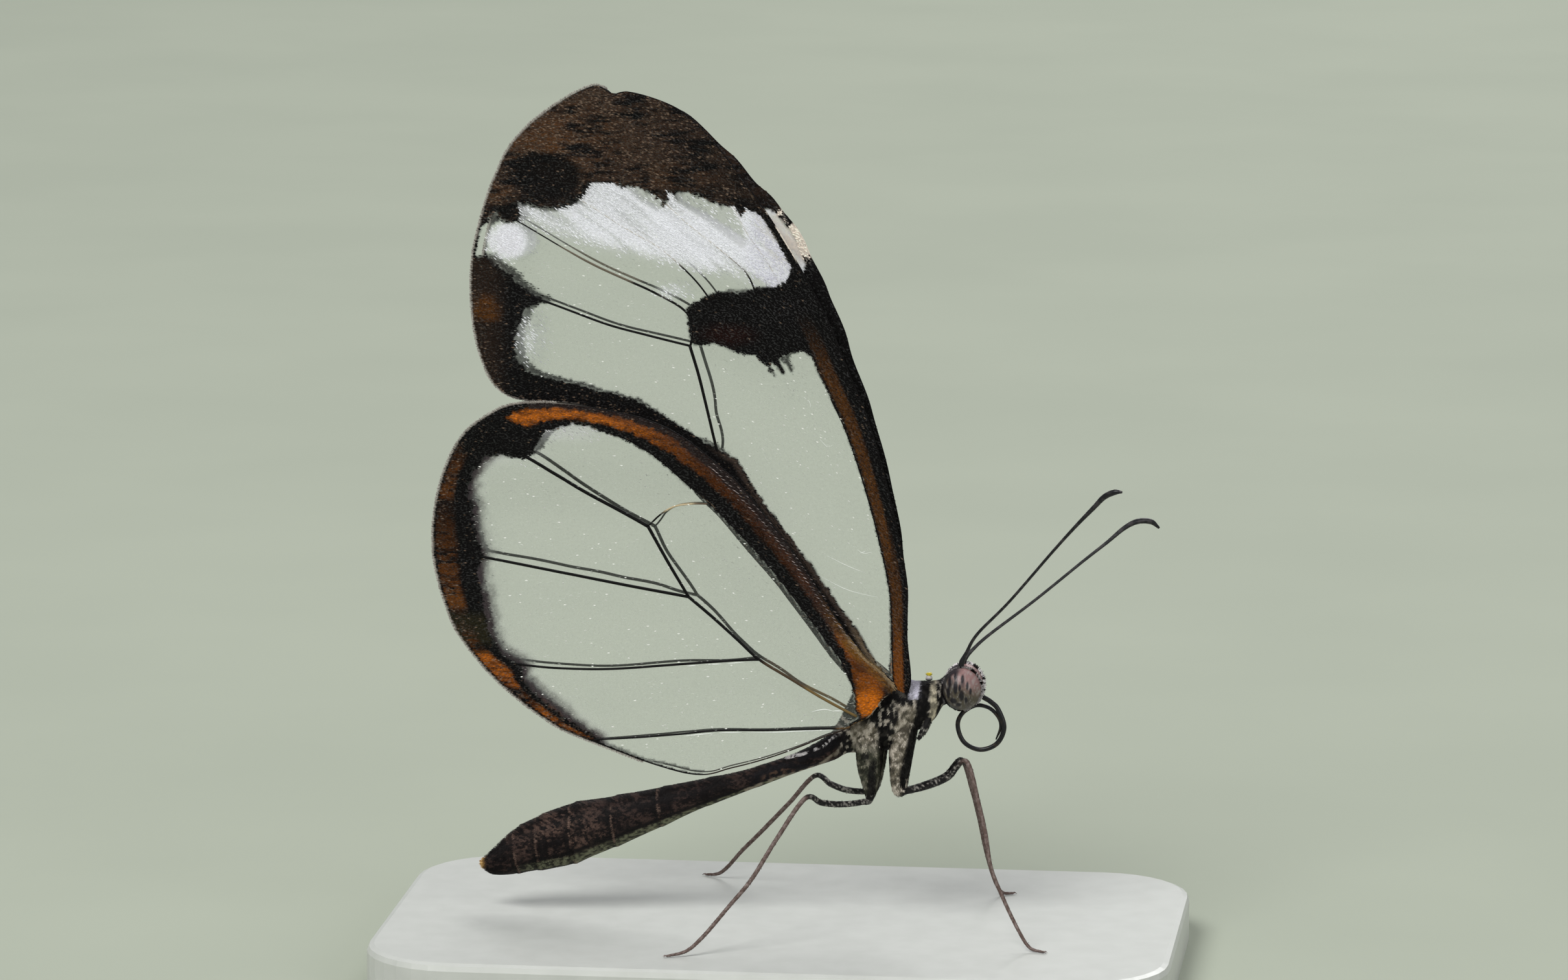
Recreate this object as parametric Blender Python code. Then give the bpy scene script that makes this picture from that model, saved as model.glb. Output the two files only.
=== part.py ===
"""A glasswing butterfly at rest with closed wings, life size, on a flat display base.

The head looks along +X, the wings stand up along +Z and the right side faces -Y. Sizes below are
in millimetres, and MM turns them into Blender's metres.
"""

import math

import bmesh
import bpy
from mathutils import Matrix, Vector, geometry

MM = 0.001
GAP = 0.3  # between nodes that meet
RIGHT, LEFT = -1, 1  # the sign of y on each side

BASE_LENGTH, BASE_WIDTH, BASE_HEIGHT = 34.0, 20.0, 2.0
BASE_CORNER, BASE_EDGE = 4.0, 0.3
FOOT_LEVEL = BASE_HEIGHT + GAP

WING_THICKNESS = 0.5
RIDGE_HEIGHT, RIDGE_FOOT = 0.2, 0.35
WING_GRID = 2.6  # between the points that fill the membrane
FOREWING_REST, FOREWING_ROOT = 0.5, 0.85  # distance from the middle plane, of the blade and the root
HINDWING_REST, HINDWING_OVER, HINDWING_ROOT = 0.65, 1.35, 1.65
HINDWING_ANAL = 1.0
LEFT_SHIFTS = {"forewing": (0.32, -0.05), "hindwing": (0.0, -0.1)}  # ahead of and above the right
WING_HINGE = (4.6, 12.2)  # x and z of the wing roots
WING_STEP = 1.0  # between points along the outline and the veins
RIDGE_CLEAR, RIM_CLEAR = 0.33, 0.25  # what the points beside a ridge keep from crests and the rim
FILL_CREST_CLEAR, FILL_CLEAR = 0.8, 0.9  # what the membrane's points keep from crests and others

LEG_RADIUS = 0.25
FORELEG_RADII, PALP_RADII, CLUB_RADII = (0.25, 0.18), (0.25, 0.15), (0.3, 0.2)
TRUNK_STEP, LEG_STEP, FORELEG_STEP, PALP_STEP, ANTENNA_STEP = 0.7, 0.7, 0.5, 0.3, 0.9

# Outlines and veins are (x, z) in the plane of the closed wings, each smoothed into a curve.
FOREWING_OUTLINE = (
    (5.4, 12.2), (5.2, 15.6), (4.65, 18.9), (3.75, 22.7), (2.7, 25.95), (1.3, 29.1),
    (-0.5, 32.25), (-2.55, 35.15), (-4.35, 36.8), (-6.3, 37.5), (-7.85, 37.75),
    (-9.8, 36.75), (-11.6, 35.05), (-12.65, 32.75), (-13.2, 30.5), (-13.25, 28.45),
    (-12.85, 26.2), (-12.1, 24.8), (-10.95, 24.3), (-8.5, 24.15), (-6.3, 23.4),
    (-4.6, 22.0), (-2.7, 19.5), (-0.25, 16.65), (2.4, 13.25), (3.7, 12.2),
)
FOREWING_VEINS = (
    ((4.75, 13.2), (4.6, 15.8), (4.05, 18.9), (3.1, 22.6), (2.05, 25.8), (0.8, 28.9),
     (-0.8, 32.0), (-2.9, 34.7), (-5.0, 36.3), (-7.4, 36.9)),
    ((3.9, 12.9), (2.1, 14.4), (-0.5, 17.6), (-2.1, 20.3), (-2.87, 22.55), (-3.58, 25.5),
     (-3.96, 26.78)),
    ((-3.96, 26.78), (-5.73, 27.19), (-7.39, 27.6), (-9.05, 28.18), (-10.71, 28.76), (-12.7, 29.4)),
    ((-3.96, 26.78), (-3.6, 27.7), (-2.2, 28.1), (0.0, 28.1), (1.0, 28.2)),
    ((-3.6, 27.7), (-5.45, 29.0), (-6.66, 29.55), (-9.26, 30.8), (-11.35, 32.0), (-12.2, 32.4)),
    ((-2.2, 28.1), (-3.93, 29.8), (-5.17, 30.9), (-6.82, 31.8), (-9.02, 33.16), (-11.4, 34.2)),
    ((-0.5, 28.1), (-1.6, 29.9), (-4.06, 32.0), (-5.3, 33.14), (-8.7, 36.6)),
    ((1.2, 15.4), (-1.9, 19.3), (-3.9, 22.0), (-6.0, 23.9), (-8.5, 24.75), (-11.0, 24.9)),
)
HINDWING_OUTLINE = (
    (5.0, 12.5), (4.4, 13.2), (2.75, 14.9), (0.45, 18.3), (-1.8, 21.1), (-3.8, 22.8),
    (-6.0, 23.85), (-8.9, 24.3), (-11.5, 24.25), (-12.85, 23.5), (-13.95, 22.3),
    (-14.65, 20.6), (-14.97, 18.6), (-14.75, 16.55), (-14.05, 14.5), (-12.95, 12.9),
    (-11.4, 11.45), (-9.7, 10.25), (-7.85, 9.5), (-6.0, 8.85), (-4.0, 8.4), (-3.1, 8.4),
    (-1.3, 8.95), (0.95, 9.75), (2.75, 10.6), (3.8, 11.2), (4.5, 11.9),
)
HINDWING_VEINS = (
    ((3.4, 13.0), (1.9, 14.9), (-0.4, 18.0), (-2.3, 20.4), (-4.3, 22.1), (-6.3, 23.1),
     (-8.9, 23.6), (-11.4, 23.4), (-13.0, 22.2)),
    ((-5.73, 19.03), (-8.23, 20.38), (-10.83, 21.99), (-12.4, 22.7)),
    ((-5.73, 19.03), (-5.16, 19.6), (-4.55, 20.03), (-4.0, 20.13), (-2.5, 20.1)),
    ((-5.73, 19.03), (-4.9, 17.48), (-4.02, 15.99)),
    ((-4.02, 15.99), (-6.58, 16.41), (-9.64, 16.95), (-13.01, 17.54), (-14.5, 17.7)),
    ((-4.02, 15.99), (-2.95, 15.11), (-0.96, 13.39), (0.38, 12.66), (1.76, 11.94), (3.1, 11.4)),
    ((-0.96, 13.39), (-4.36, 13.06), (-7.15, 12.79), (-9.1, 12.74), (-10.89, 12.83), (-12.9, 13.4)),
    ((2.4, 10.95), (-0.18, 10.37), (-2.68, 10.27), (-4.35, 10.06), (-6.31, 9.81), (-7.6, 9.75)),
)
HINDWING_LEADING_POINTS, HINDWING_ANAL_POINTS = 9, (20, 25)  # stretches of the outline

# The trunk's rings are (x, z, half height, half width), and thin cuts part it into its nodes.
TRUNK = {
    "abdomen_tip": (
        (-13.1, 3.95, 0.12, 0.1), (-12.6, 4.05, 0.6, 0.5), (-11.85, 4.42, 0.98, 0.85),
        (-11.1, 4.75, 1.15, 1.0),
    ),
    "abdomen_rear": (
        (-10.8, 4.87, 1.2, 1.05), (-9.95, 5.13, 1.33, 1.12), (-9.2, 5.37, 1.36, 1.15),
        (-9.15, 5.37, 1.41, 1.2), (-8.3, 5.65, 1.3, 1.1), (-7.6, 5.88, 1.2, 1.02),
    ),
    "abdomen_middle": (
        (-7.3, 5.98, 1.14, 0.98), (-5.54, 6.58, 0.97, 0.85), (-5.5, 6.58, 0.93, 0.82),
        (-3.66, 7.25, 0.7, 0.7), (-1.95, 7.82, 0.53, 0.58),
    ),
    "abdomen_base": (
        (-1.65, 7.92, 0.52, 0.58), (0.1, 8.58, 0.48, 0.56), (1.3, 9.1, 0.55, 0.63),
        (2.25, 9.6, 0.62, 0.7),
    ),
    "thorax": (
        (2.55, 10.05, 0.75, 0.75), (3.1, 10.6, 1.35, 1.15), (3.95, 11.0, 1.75, 1.4),
        (4.9, 11.15, 1.6, 1.35), (5.65, 11.35, 1.1, 0.95),
    ),
    "prothorax": (
        (5.95, 11.45, 1.0, 0.85), (6.35, 11.55, 0.95, 0.8), (6.75, 11.8, 0.62, 0.5),
    ),
    "head": (
        (7.05, 12.2, 0.6, 0.4), (7.35, 12.33, 0.8, 0.5), (7.8, 12.38, 0.86, 0.5),
        (8.2, 12.3, 0.62, 0.45),
    ),
}
TRUNK_SIDES = 20

EYE_CENTRE, EYE_SIZE, EYE_INNER, EYE_BULGE = (7.7, 12.3), (0.85, 0.94), 0.8, 0.75
EYE_SIDES, EYE_RINGS = 20, 12

COIL_CENTRE, COIL_RADIUS = (8.42, 10.56), 0.95
COIL_STEM = ((8.55, 11.78), (8.8, 11.72))
COIL_START, COIL_SPLIT, COIL_END = 48, -62, -205  # degrees round the coil, clockwise
COIL_STEP = 12

# Each leg runs from the thorax through its joints, (x, distance from the middle, z). A length's
# last point is the next one's first.
LEGS = {
    "midleg_right": {
        "coxa": ((5.35, 0.95, 9.9), (5.0, 0.95, 7.8)),
        "femur": ((5.0, 0.95, 7.8), (6.35, 1.7, 8.35), (7.25, 2.25, 8.9), (8.05, 2.7, 9.8)),
        "tibia": ((8.05, 2.7, 9.8), (8.67, 3.2, 7.97), (9.0, 3.6, 6.7), (9.28, 4.0, 5.35)),
        "tarsus": ((9.28, 4.0, 5.35), (9.86, 4.3, 4.05), (10.5, 4.6, 3.05), (11.0, 4.9, 2.6),
                   (11.6, 5.1, 2.5)),
    },
    "midleg_left": {
        "coxa": ((5.35, 0.95, 9.9), (5.0, 0.95, 7.8)),
        "femur": ((5.0, 0.95, 7.8), (6.0, 1.75, 7.95), (6.8, 2.2, 8.3), (7.4, 2.6, 8.9)),
        "tibia": ((7.4, 2.6, 8.9), (7.8, 3.3, 7.2), (8.05, 3.8, 5.9), (8.2, 4.2, 4.7)),
        "tarsus": ((8.2, 4.2, 4.7), (8.45, 4.5, 3.65), (8.7, 4.7, 2.9), (8.95, 4.9, 2.55),
                   (9.4, 5.1, 2.5)),
    },
    "hindleg_right": {
        "coxa": ((3.75, 0.95, 9.8), (3.8, 0.95, 7.4)),
        "femur": ((3.8, 0.95, 7.4), (2.82, 2.0, 7.5), (2.06, 2.8, 7.8), (1.5, 3.5, 8.2)),
        "tibia": ((1.5, 3.5, 8.2), (0.27, 4.7, 6.45), (-0.67, 5.7, 5.0), (-1.52, 6.4, 4.0)),
        "tarsus": ((-1.52, 6.4, 4.0), (-2.5, 7.0, 2.95), (-3.2, 7.4, 2.55), (-4.0, 7.7, 2.5)),
    },
    "hindleg_left": {
        "coxa": ((3.75, 0.95, 9.8), (3.8, 0.95, 7.4)),
        "femur": ((3.8, 0.95, 7.4), (2.5, 2.1, 7.15), (1.7, 2.9, 7.2), (0.92, 3.5, 7.45)),
        "tibia": ((0.92, 3.5, 7.45), (-0.3, 4.3, 6.0), (-1.61, 5.2, 4.5), (-2.6, 5.9, 3.4)),
        "tarsus": ((-2.6, 5.9, 3.4), (-3.2, 6.3, 2.8), (-3.7, 6.6, 2.52), (-4.3, 6.9, 2.5)),
    },
}
COXA_RADII = (0.68, 0.3)
LEG_OVERRUN = 0.6  # how far a length runs past its joints before it is cut there

FORELEG = ((6.35, 0.5, 10.36), (6.5, 0.55, 10.0), (6.4, 0.55, 9.5))
PALP = ((8.62, 0.42, 12.25), (8.72, 0.4, 12.7), (8.5, 0.38, 13.2))
ANTENNAE = {
    "antenna_right": ((7.65, 0.45, 13.42), (7.85, 0.5, 13.85), (8.35, 0.8, 14.75), (9.75, 1.4, 16.3),
                      (11.6, 2.2, 18.6), (12.6, 2.65, 19.8), (13.4, 3.0, 20.7), (13.85, 3.2, 21.2),
                      (14.3, 3.4, 21.45), (14.65, 3.5, 21.5)),
    "antenna_left": ((7.7, 0.45, 13.42), (8.0, 0.65, 13.75), (8.65, 1.2, 14.3), (10.5, 2.5, 15.6),
                     (12.4, 3.8, 17.05), (13.4, 4.4, 17.8), (14.1, 4.9, 18.35), (14.65, 5.2, 18.6),
                     (15.2, 5.5, 18.55), (15.6, 5.7, 18.2)),
}
CLUB_FROM = 0.68  # where the club begins, as a share of the antenna's length

MATERIALS = {  # base colour, roughness
    "wing_membrane": ((0.62, 0.66, 0.58), 0.3),
    "body_scales": ((0.16, 0.14, 0.12), 0.8),
    "abdomen_cuticle": ((0.06, 0.035, 0.025), 0.6),
    "leg_cuticle": ((0.09, 0.07, 0.06), 0.6),
    "antenna_cuticle": ((0.02, 0.018, 0.018), 0.45),
    "eye_facets": ((0.35, 0.28, 0.27), 0.35),
    "base_plate": ((0.8, 0.81, 0.78), 0.35),
}


def clear_scene():
    for obj in list(bpy.data.objects):
        bpy.data.objects.remove(obj)


def make_material(name):
    colour, roughness = MATERIALS[name]
    material = bpy.data.materials.new(name)
    material.use_nodes = True
    shader = material.node_tree.nodes["Principled BSDF"]
    shader.inputs["Base Color"].default_value = (*colour, 1.0)
    shader.inputs["Roughness"].default_value = roughness
    return material


def make_collection(name):
    collection = bpy.data.collections.new(name)
    bpy.context.scene.collection.children.link(collection)
    return collection


def add_object(name, data, collection, material=None):
    obj = bpy.data.objects.new(name, data)
    if material:
        obj.data.materials.append(material)
    collection.objects.link(obj)
    return obj


def mesh_from(name, points, faces):
    mesh = bpy.data.meshes.new(name)
    mesh.from_pydata([[value * MM for value in point] for point in points], [], faces)
    return mesh


def spline(points, spacing, closed=False):
    """A Catmull-Rom curve through the points, with a step of about the spacing."""
    knots = [Vector(point) for point in points]
    count = len(knots)
    curve = []
    for i in range(count if closed else count - 1):
        if closed:
            a, b, c, d = (knots[(i + k) % count] for k in (-1, 0, 1, 2))
        else:
            b, c = knots[i], knots[i + 1]
            a = knots[i - 1] if i else b * 2 - c
            d = knots[i + 2] if i + 2 < count else c * 2 - b
        steps = max(1, round((c - b).length / spacing))
        for step in range(steps):
            t = step / steps
            curve.append(
                0.5 * (2 * b + (c - a) * t + (2 * a - 5 * b + 4 * c - d) * t**2
                       + (3 * b - a - 3 * c + d) * t**3)
            )
    if not closed:
        curve.append(knots[-1])
    return curve


def distance_to(point, line):
    """The distance from a point to an open polyline."""
    nearest = math.inf
    for a, b in zip(line, line[1:]):
        along = b - a
        share = max(0.0, min(1.0, (point - a).dot(along) / along.length_squared))
        nearest = min(nearest, (point - a - along * share).length)
    return nearest


def fade(distance, full, none):
    """1 up to the first distance, easing to 0 at the second."""
    share = max(0.0, min(1.0, (none - distance) / (none - full)))
    return share * share * (3 - 2 * share)


def inside(point, outline):
    crossings = 0
    for a, b in zip(outline, outline[1:] + outline[:1]):
        if (a.y > point.y) != (b.y > point.y):
            crossings += point.x < a.x + (point.y - a.y) / (b.y - a.y) * (b.x - a.x)
    return crossings % 2 == 1


def wing_plan(outline_points, vein_points):
    """Points and triangles of a wing in its own plane, with the veins' crests as edges."""
    outline = spline(outline_points, WING_STEP, closed=True)
    crests = [spline(points, WING_STEP) for points in vein_points]
    points = list(outline)
    edges = []
    for crest in crests:
        first = len(points)
        points += crest
        edges += [(first + i, first + i + 1) for i in range(len(crest) - 1)]
    rim = outline + outline[:1]

    def add_if_clear(candidate, from_crest, from_point):
        if not inside(candidate, outline) or distance_to(candidate, rim) < from_point:
            return
        if min(distance_to(candidate, crest) for crest in crests) < from_crest:
            return
        if all((candidate - other).length > from_point for other in points):
            points.append(candidate)

    for crest in crests:
        for before, here, after in zip(crest, crest[1:], crest[2:]):
            along = (after - before).normalized()
            aside = Vector((-along.y, along.x)) * RIDGE_FOOT
            add_if_clear(here + aside, RIDGE_CLEAR, RIM_CLEAR)
            add_if_clear(here - aside, RIDGE_CLEAR, RIM_CLEAR)
    columns, rows = ([math.floor(point[axis] / WING_GRID) for point in outline] for axis in (0, 1))
    for i in range(min(columns), max(columns) + 2):
        for j in range(min(rows), max(rows) + 2):
            candidate = Vector((i + 0.5 * (j % 2), j)) * WING_GRID
            add_if_clear(candidate, FILL_CREST_CLEAR, FILL_CLEAR)
    face = list(range(len(outline)))
    plan = geometry.delaunay_2d_cdt(points, edges, [face], 1, 1e-4)
    return plan[0], plan[2], crests


def sheet(name, plan, height_of, side, shift):
    """A closed sheet over the plan, split alike on both faces, with the veins raised outside."""
    points, triangles, crests = plan
    outer, inner = [], []
    for point in points:
        middle = height_of(point)
        away = min(distance_to(point, crest) for crest in crests)
        ridge = RIDGE_HEIGHT * max(0.0, 1 - away / RIDGE_FOOT)
        x, z = point.x + shift[0], point.y + shift[1]
        outer.append((x, side * (middle + WING_THICKNESS / 2 + ridge), z))
        inner.append((x, side * (middle - WING_THICKNESS / 2), z))
    count = len(points)
    faces = [tuple(triangle) for triangle in triangles]
    faces += [tuple(count + i for i in reversed(triangle)) for triangle in triangles]
    loose = {}
    for triangle in triangles:
        for a, b in zip(triangle, triangle[1:] + triangle[:1]):
            if (b, a) in loose:
                del loose[(b, a)]
            else:
                loose[(a, b)] = True
    for a, b in loose:
        faces.append((b, a, count + a, count + b))
    mesh = mesh_from(name, outer + inner, faces)
    recalculate(mesh)
    return mesh


def recalculate(mesh):
    work = bmesh.new()
    work.from_mesh(mesh)
    bmesh.ops.recalc_face_normals(work, faces=work.faces)
    work.to_mesh(mesh)
    work.free()


def cut_clear(obj, cutters):
    for cutter in cutters:
        cut = obj.modifiers.new(f"clear_of_{cutter.name}", "BOOLEAN")
        cut.operation = "DIFFERENCE"
        cut.object = cutter
        cut.solver = "EXACT"


def forewing_height(point):
    away = (point - Vector(WING_HINGE)).length
    return FOREWING_REST + (FOREWING_ROOT - FOREWING_REST) * fade(away, 1.0, 6.0)


def hindwing_height(leading, anal, point):
    over = (HINDWING_OVER - HINDWING_REST) * fade(distance_to(point, leading), 2.0, 5.0)
    beside = (HINDWING_ANAL - HINDWING_REST) * fade(distance_to(point, anal), 0.6, 4.0)
    root = (HINDWING_ROOT - HINDWING_OVER) * fade((point - Vector(WING_HINGE)).length, 1.5, 5.0)
    return HINDWING_REST + max(over, beside) + root


def add_wings(collection, material, cutters):
    leading = [Vector(point) for point in HINDWING_OUTLINE[:HINDWING_LEADING_POINTS]]
    anal = [Vector(point) for point in HINDWING_OUTLINE[slice(*HINDWING_ANAL_POINTS)]]
    fore = wing_plan(FOREWING_OUTLINE, FOREWING_VEINS)
    hind = wing_plan(HINDWING_OUTLINE, HINDWING_VEINS)
    for word, side in (("right", RIGHT), ("left", LEFT)):
        shifts = LEFT_SHIFTS if side == LEFT else {kind: (0.0, 0.0) for kind in LEFT_SHIFTS}
        pieces = {
            "forewing": sheet("forewing", fore, forewing_height, side, shifts["forewing"]),
            "hindwing": sheet(
                "hindwing", hind, lambda point: hindwing_height(leading, anal, point), side,
                shifts["hindwing"],
            ),
        }
        for kind, mesh in pieces.items():
            wing = add_object(f"{kind}_{word}", mesh, collection, material)
            cut_clear(wing, cutters)


def ring_loft(name, rings, sides, grow=0.0):
    """A closed loft through upright elliptic rings along X, made larger all round by grow."""
    points = []
    ends = {0: -grow, len(rings) - 1: grow}
    for i, (x, z, tall, wide) in enumerate(rings):
        for k in range(sides):
            turn = 2 * math.pi * k / sides
            y = (wide + grow) * math.cos(turn)
            points.append((x + ends.get(i, 0.0), y, z + (tall + grow) * math.sin(turn)))
    faces = [tuple(range(sides)), tuple(len(points) - 1 - k for k in range(sides))]
    for i in range(len(rings) - 1):
        for k in range(sides):
            a, b = i * sides + k, i * sides + (k + 1) % sides
            faces.append((a, a + sides, b + sides, b))
    mesh = mesh_from(name, points, faces)
    recalculate(mesh)
    return mesh


def smooth_rings(rings):
    return [tuple(ring) for ring in spline([Vector(ring) for ring in rings], TRUNK_STEP)]


def add_trunk(collection, materials):
    for name, rings in TRUNK.items():
        material = materials["abdomen_cuticle" if name.startswith("abdomen") else "body_scales"]
        add_object(name, ring_loft(name, smooth_rings(rings), TRUNK_SIDES), collection, material)


def trunk_cutters(collection):
    cutters = []
    for name in ("thorax", "abdomen_base"):
        mesh = ring_loft(f"room_for_{name}", smooth_rings(TRUNK[name]), TRUNK_SIDES, GAP)
        cutter = add_object(f"room_for_{name}", mesh, collection)
        cutter.hide_render = True
        cutters.append(cutter)
    return cutters


def add_eyes(collection, material):
    for word, side in (("right", RIGHT), ("left", LEFT)):
        work = bmesh.new()
        upright = Matrix.Rotation(math.pi / 2, 4, "X")
        bmesh.ops.create_uvsphere(work, u_segments=EYE_SIDES, v_segments=EYE_RINGS, radius=1.0, matrix=upright)
        inner = [vert for vert in work.verts if vert.co.y * side < -0.01]
        bmesh.ops.delete(work, geom=inner, context="VERTS")
        bmesh.ops.edgeloop_fill(work, edges=[edge for edge in work.edges if edge.is_boundary])
        for vert in work.verts:
            vert.co.x = (EYE_CENTRE[0] + vert.co.x * EYE_SIZE[0]) * MM
            vert.co.y = (side * EYE_INNER + vert.co.y * EYE_BULGE) * MM
            vert.co.z = (EYE_CENTRE[1] + vert.co.z * EYE_SIZE[1]) * MM
        bmesh.ops.recalc_face_normals(work, faces=work.faces)
        mesh = bpy.data.meshes.new(f"eye_{word}")
        work.to_mesh(mesh)
        work.free()
        add_object(f"eye_{word}", mesh, collection, material)


def trimmed(curve, start, end):
    """The curve with a length taken off each end."""
    for length in (end, start):
        curve = curve[::-1]
        left = length
        while (curve[1] - curve[0]).length <= left:
            left -= (curve[1] - curve[0]).length
            curve = curve[1:]
        curve = [curve[0].lerp(curve[1], left / (curve[1] - curve[0]).length)] + curve[1:]
    return curve


def tube(name, points, radii, collection, material):
    """A round tube through the points, its radius running evenly from the first to the last."""
    curve = bpy.data.curves.new(name, "CURVE")
    curve.dimensions = "3D"
    curve.bevel_depth = MM
    curve.bevel_resolution = 2
    curve.use_fill_caps = True
    line = curve.splines.new("POLY")
    line.points.add(len(points) - 1)
    for i, point in enumerate(points):
        line.points[i].co = (*(value * MM for value in point), 1.0)
        line.points[i].radius = radii[0] + (radii[1] - radii[0]) * i / (len(points) - 1)
    return add_object(name, curve, collection, material)


def as_mesh(obj):
    """Replaces a tube with its welded mesh."""
    bpy.context.view_layer.update()
    graph = bpy.context.evaluated_depsgraph_get()
    mesh = bpy.data.meshes.new_from_object(obj.evaluated_get(graph))
    work = bmesh.new()
    work.from_mesh(mesh)
    bmesh.ops.remove_doubles(work, verts=work.verts, dist=1e-6)
    work.to_mesh(mesh)
    work.free()
    name, collection = obj.name, obj.users_collection[0]
    bpy.data.objects.remove(obj)
    mesh.name = name
    return add_object(name, mesh, collection)


def cut_off(obj, place, forward):
    """Removes what lies ahead of the plane through the place and closes the cut."""
    work = bmesh.new()
    work.from_mesh(obj.data)
    bmesh.ops.bisect_plane(
        work, geom=work.verts[:] + work.edges[:] + work.faces[:],
        plane_co=place * MM, plane_no=forward, clear_outer=True,
    )
    bmesh.ops.edgeloop_fill(work, edges=[edge for edge in work.edges if edge.is_boundary])
    bmesh.ops.recalc_face_normals(work, faces=work.faces)
    work.to_mesh(obj.data)
    work.free()


def flatten_under(obj, level):
    for vert in obj.data.vertices:
        vert.co.z = max(vert.co.z, level * MM)


def sided(points, side):
    return [Vector((x, side * y, z)) for x, y, z in points]


def run_past(curve, before, after):
    """The curve carried straight on past the ends that are to be cut."""
    first = (curve[0] - curve[1]).normalized() * LEG_OVERRUN
    last = (curve[-1] - curve[-2]).normalized() * LEG_OVERRUN
    return ([curve[0] + first] if before else []) + curve + ([curve[-1] + last] if after else [])


def add_leg(name, lengths, side, collection, material, thorax_room):
    """One leg, its lengths cut apart at each joint along the plane that halves the bend."""
    curves = {part: spline(sided(points, side), LEG_STEP) for part, points in lengths.items()}
    parts = list(curves)
    bends = []
    for part, following in zip(parts, parts[1:]):
        into = (curves[part][-1] - curves[part][-2]).normalized()
        out = (curves[following][1] - curves[following][0]).normalized()
        bends.append((curves[part][-1], (into + out).normalized()))
    for i, part in enumerate(parts):
        radii = COXA_RADII if part == "coxa" else (LEG_RADIUS, LEG_RADIUS)
        curve = run_past(curves[part], i > 0, i < len(bends))
        obj = as_mesh(tube(f"{name}_{part}", curve, radii, collection, material))
        if i > 0:
            place, forward = bends[i - 1]
            cut_off(obj, place + forward * GAP / 2, -forward)
        if i < len(bends):
            place, forward = bends[i]
            cut_off(obj, place - forward * GAP / 2, forward)
        if part == "coxa":
            cut_clear(obj, [thorax_room])
        if part == "tarsus":
            flatten_under(obj, FOOT_LEVEL)


def add_legs(collection, material, thorax_room):
    for name, lengths in LEGS.items():
        side = LEFT if name.endswith("left") else RIGHT
        add_leg(name, lengths, side, collection, material, thorax_room)
    for word, side in (("right", RIGHT), ("left", LEFT)):
        foreleg = spline(sided(FORELEG, side), FORELEG_STEP)
        tube(f"foreleg_{word}", foreleg, FORELEG_RADII, collection, material)


def add_feelers(collection, materials):
    for word, side in (("right", RIGHT), ("left", LEFT)):
        palp = spline(sided(PALP, side), PALP_STEP)
        tube(f"palp_{word}", palp, PALP_RADII, collection, materials["body_scales"])
    for name, points in ANTENNAE.items():
        side = LEFT if name.endswith("left") else RIGHT
        curve = spline(sided(points, side), ANTENNA_STEP)
        split = round(CLUB_FROM * len(curve))
        dark = materials["antenna_cuticle"]
        tube(f"{name}_shaft", curve[: split + 1], (LEG_RADIUS, LEG_RADIUS), collection, dark)
        club = trimmed(curve[split:], GAP, 0.0)
        tube(f"{name}_club", club, CLUB_RADII, collection, dark)


def on_coil(degrees):
    turn = math.radians(degrees)
    x = COIL_CENTRE[0] + COIL_RADIUS * math.cos(turn)
    return Vector((x, 0.0, COIL_CENTRE[1] + COIL_RADIUS * math.sin(turn)))


def add_proboscis(collection, material):
    gap = math.degrees(GAP / COIL_RADIUS)
    stem = [Vector((x, 0.0, z)) for x, z in COIL_STEM]
    upper = stem + [on_coil(turn) for turn in range(COIL_START, COIL_SPLIT - 1, -COIL_STEP)]
    lower = [on_coil(turn) for turn in range(round(COIL_SPLIT - gap), COIL_END - 1, -COIL_STEP)]
    tube("proboscis_upper", upper, (LEG_RADIUS, LEG_RADIUS), collection, material)
    tube("proboscis_lower", lower, (LEG_RADIUS, LEG_RADIUS), collection, material)


def add_base(collection, material):
    work = bmesh.new()
    bmesh.ops.create_cube(work, size=1.0)
    bmesh.ops.scale(work, vec=(BASE_LENGTH * MM, BASE_WIDTH * MM, BASE_HEIGHT * MM), verts=work.verts)
    bmesh.ops.translate(work, vec=(0, 0, BASE_HEIGHT * MM / 2), verts=work.verts)
    upright = [e for e in work.edges if abs(e.verts[0].co.z - e.verts[1].co.z) > MM]
    bmesh.ops.bevel(work, geom=upright, offset=BASE_CORNER * MM, segments=8, profile=0.5, affect="EDGES")
    top = [e for e in work.edges if min(v.co.z for v in e.verts) > (BASE_HEIGHT - 0.01) * MM]
    bmesh.ops.bevel(work, geom=top, offset=BASE_EDGE * MM, segments=2, profile=0.5, affect="EDGES")
    mesh = bpy.data.meshes.new("stand_base")
    work.to_mesh(mesh)
    work.free()
    add_object("stand_base", mesh, collection, material)


def main():
    clear_scene()
    butterfly = make_collection("glasswing_butterfly")
    cutters = make_collection("cutters")
    materials = {name: make_material(name) for name in MATERIALS}
    add_trunk(butterfly, materials)
    rooms = trunk_cutters(cutters)
    add_wings(butterfly, materials["wing_membrane"], rooms)
    add_eyes(butterfly, materials["eye_facets"])
    add_legs(butterfly, materials["leg_cuticle"], rooms[0])
    add_feelers(butterfly, materials)
    add_proboscis(butterfly, materials["antenna_cuticle"])
    add_base(butterfly, materials["base_plate"])


main()
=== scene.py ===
"""The looks of the glasswing butterfly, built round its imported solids.

Sizes are in millimetres unless a name says otherwise, and MM turns them into metres. On the wings a
point is (x, z) in the plane of the closed wings, and y is worked out from it.
"""

import math

import bpy
import numpy as np
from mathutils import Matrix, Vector, geometry

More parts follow.
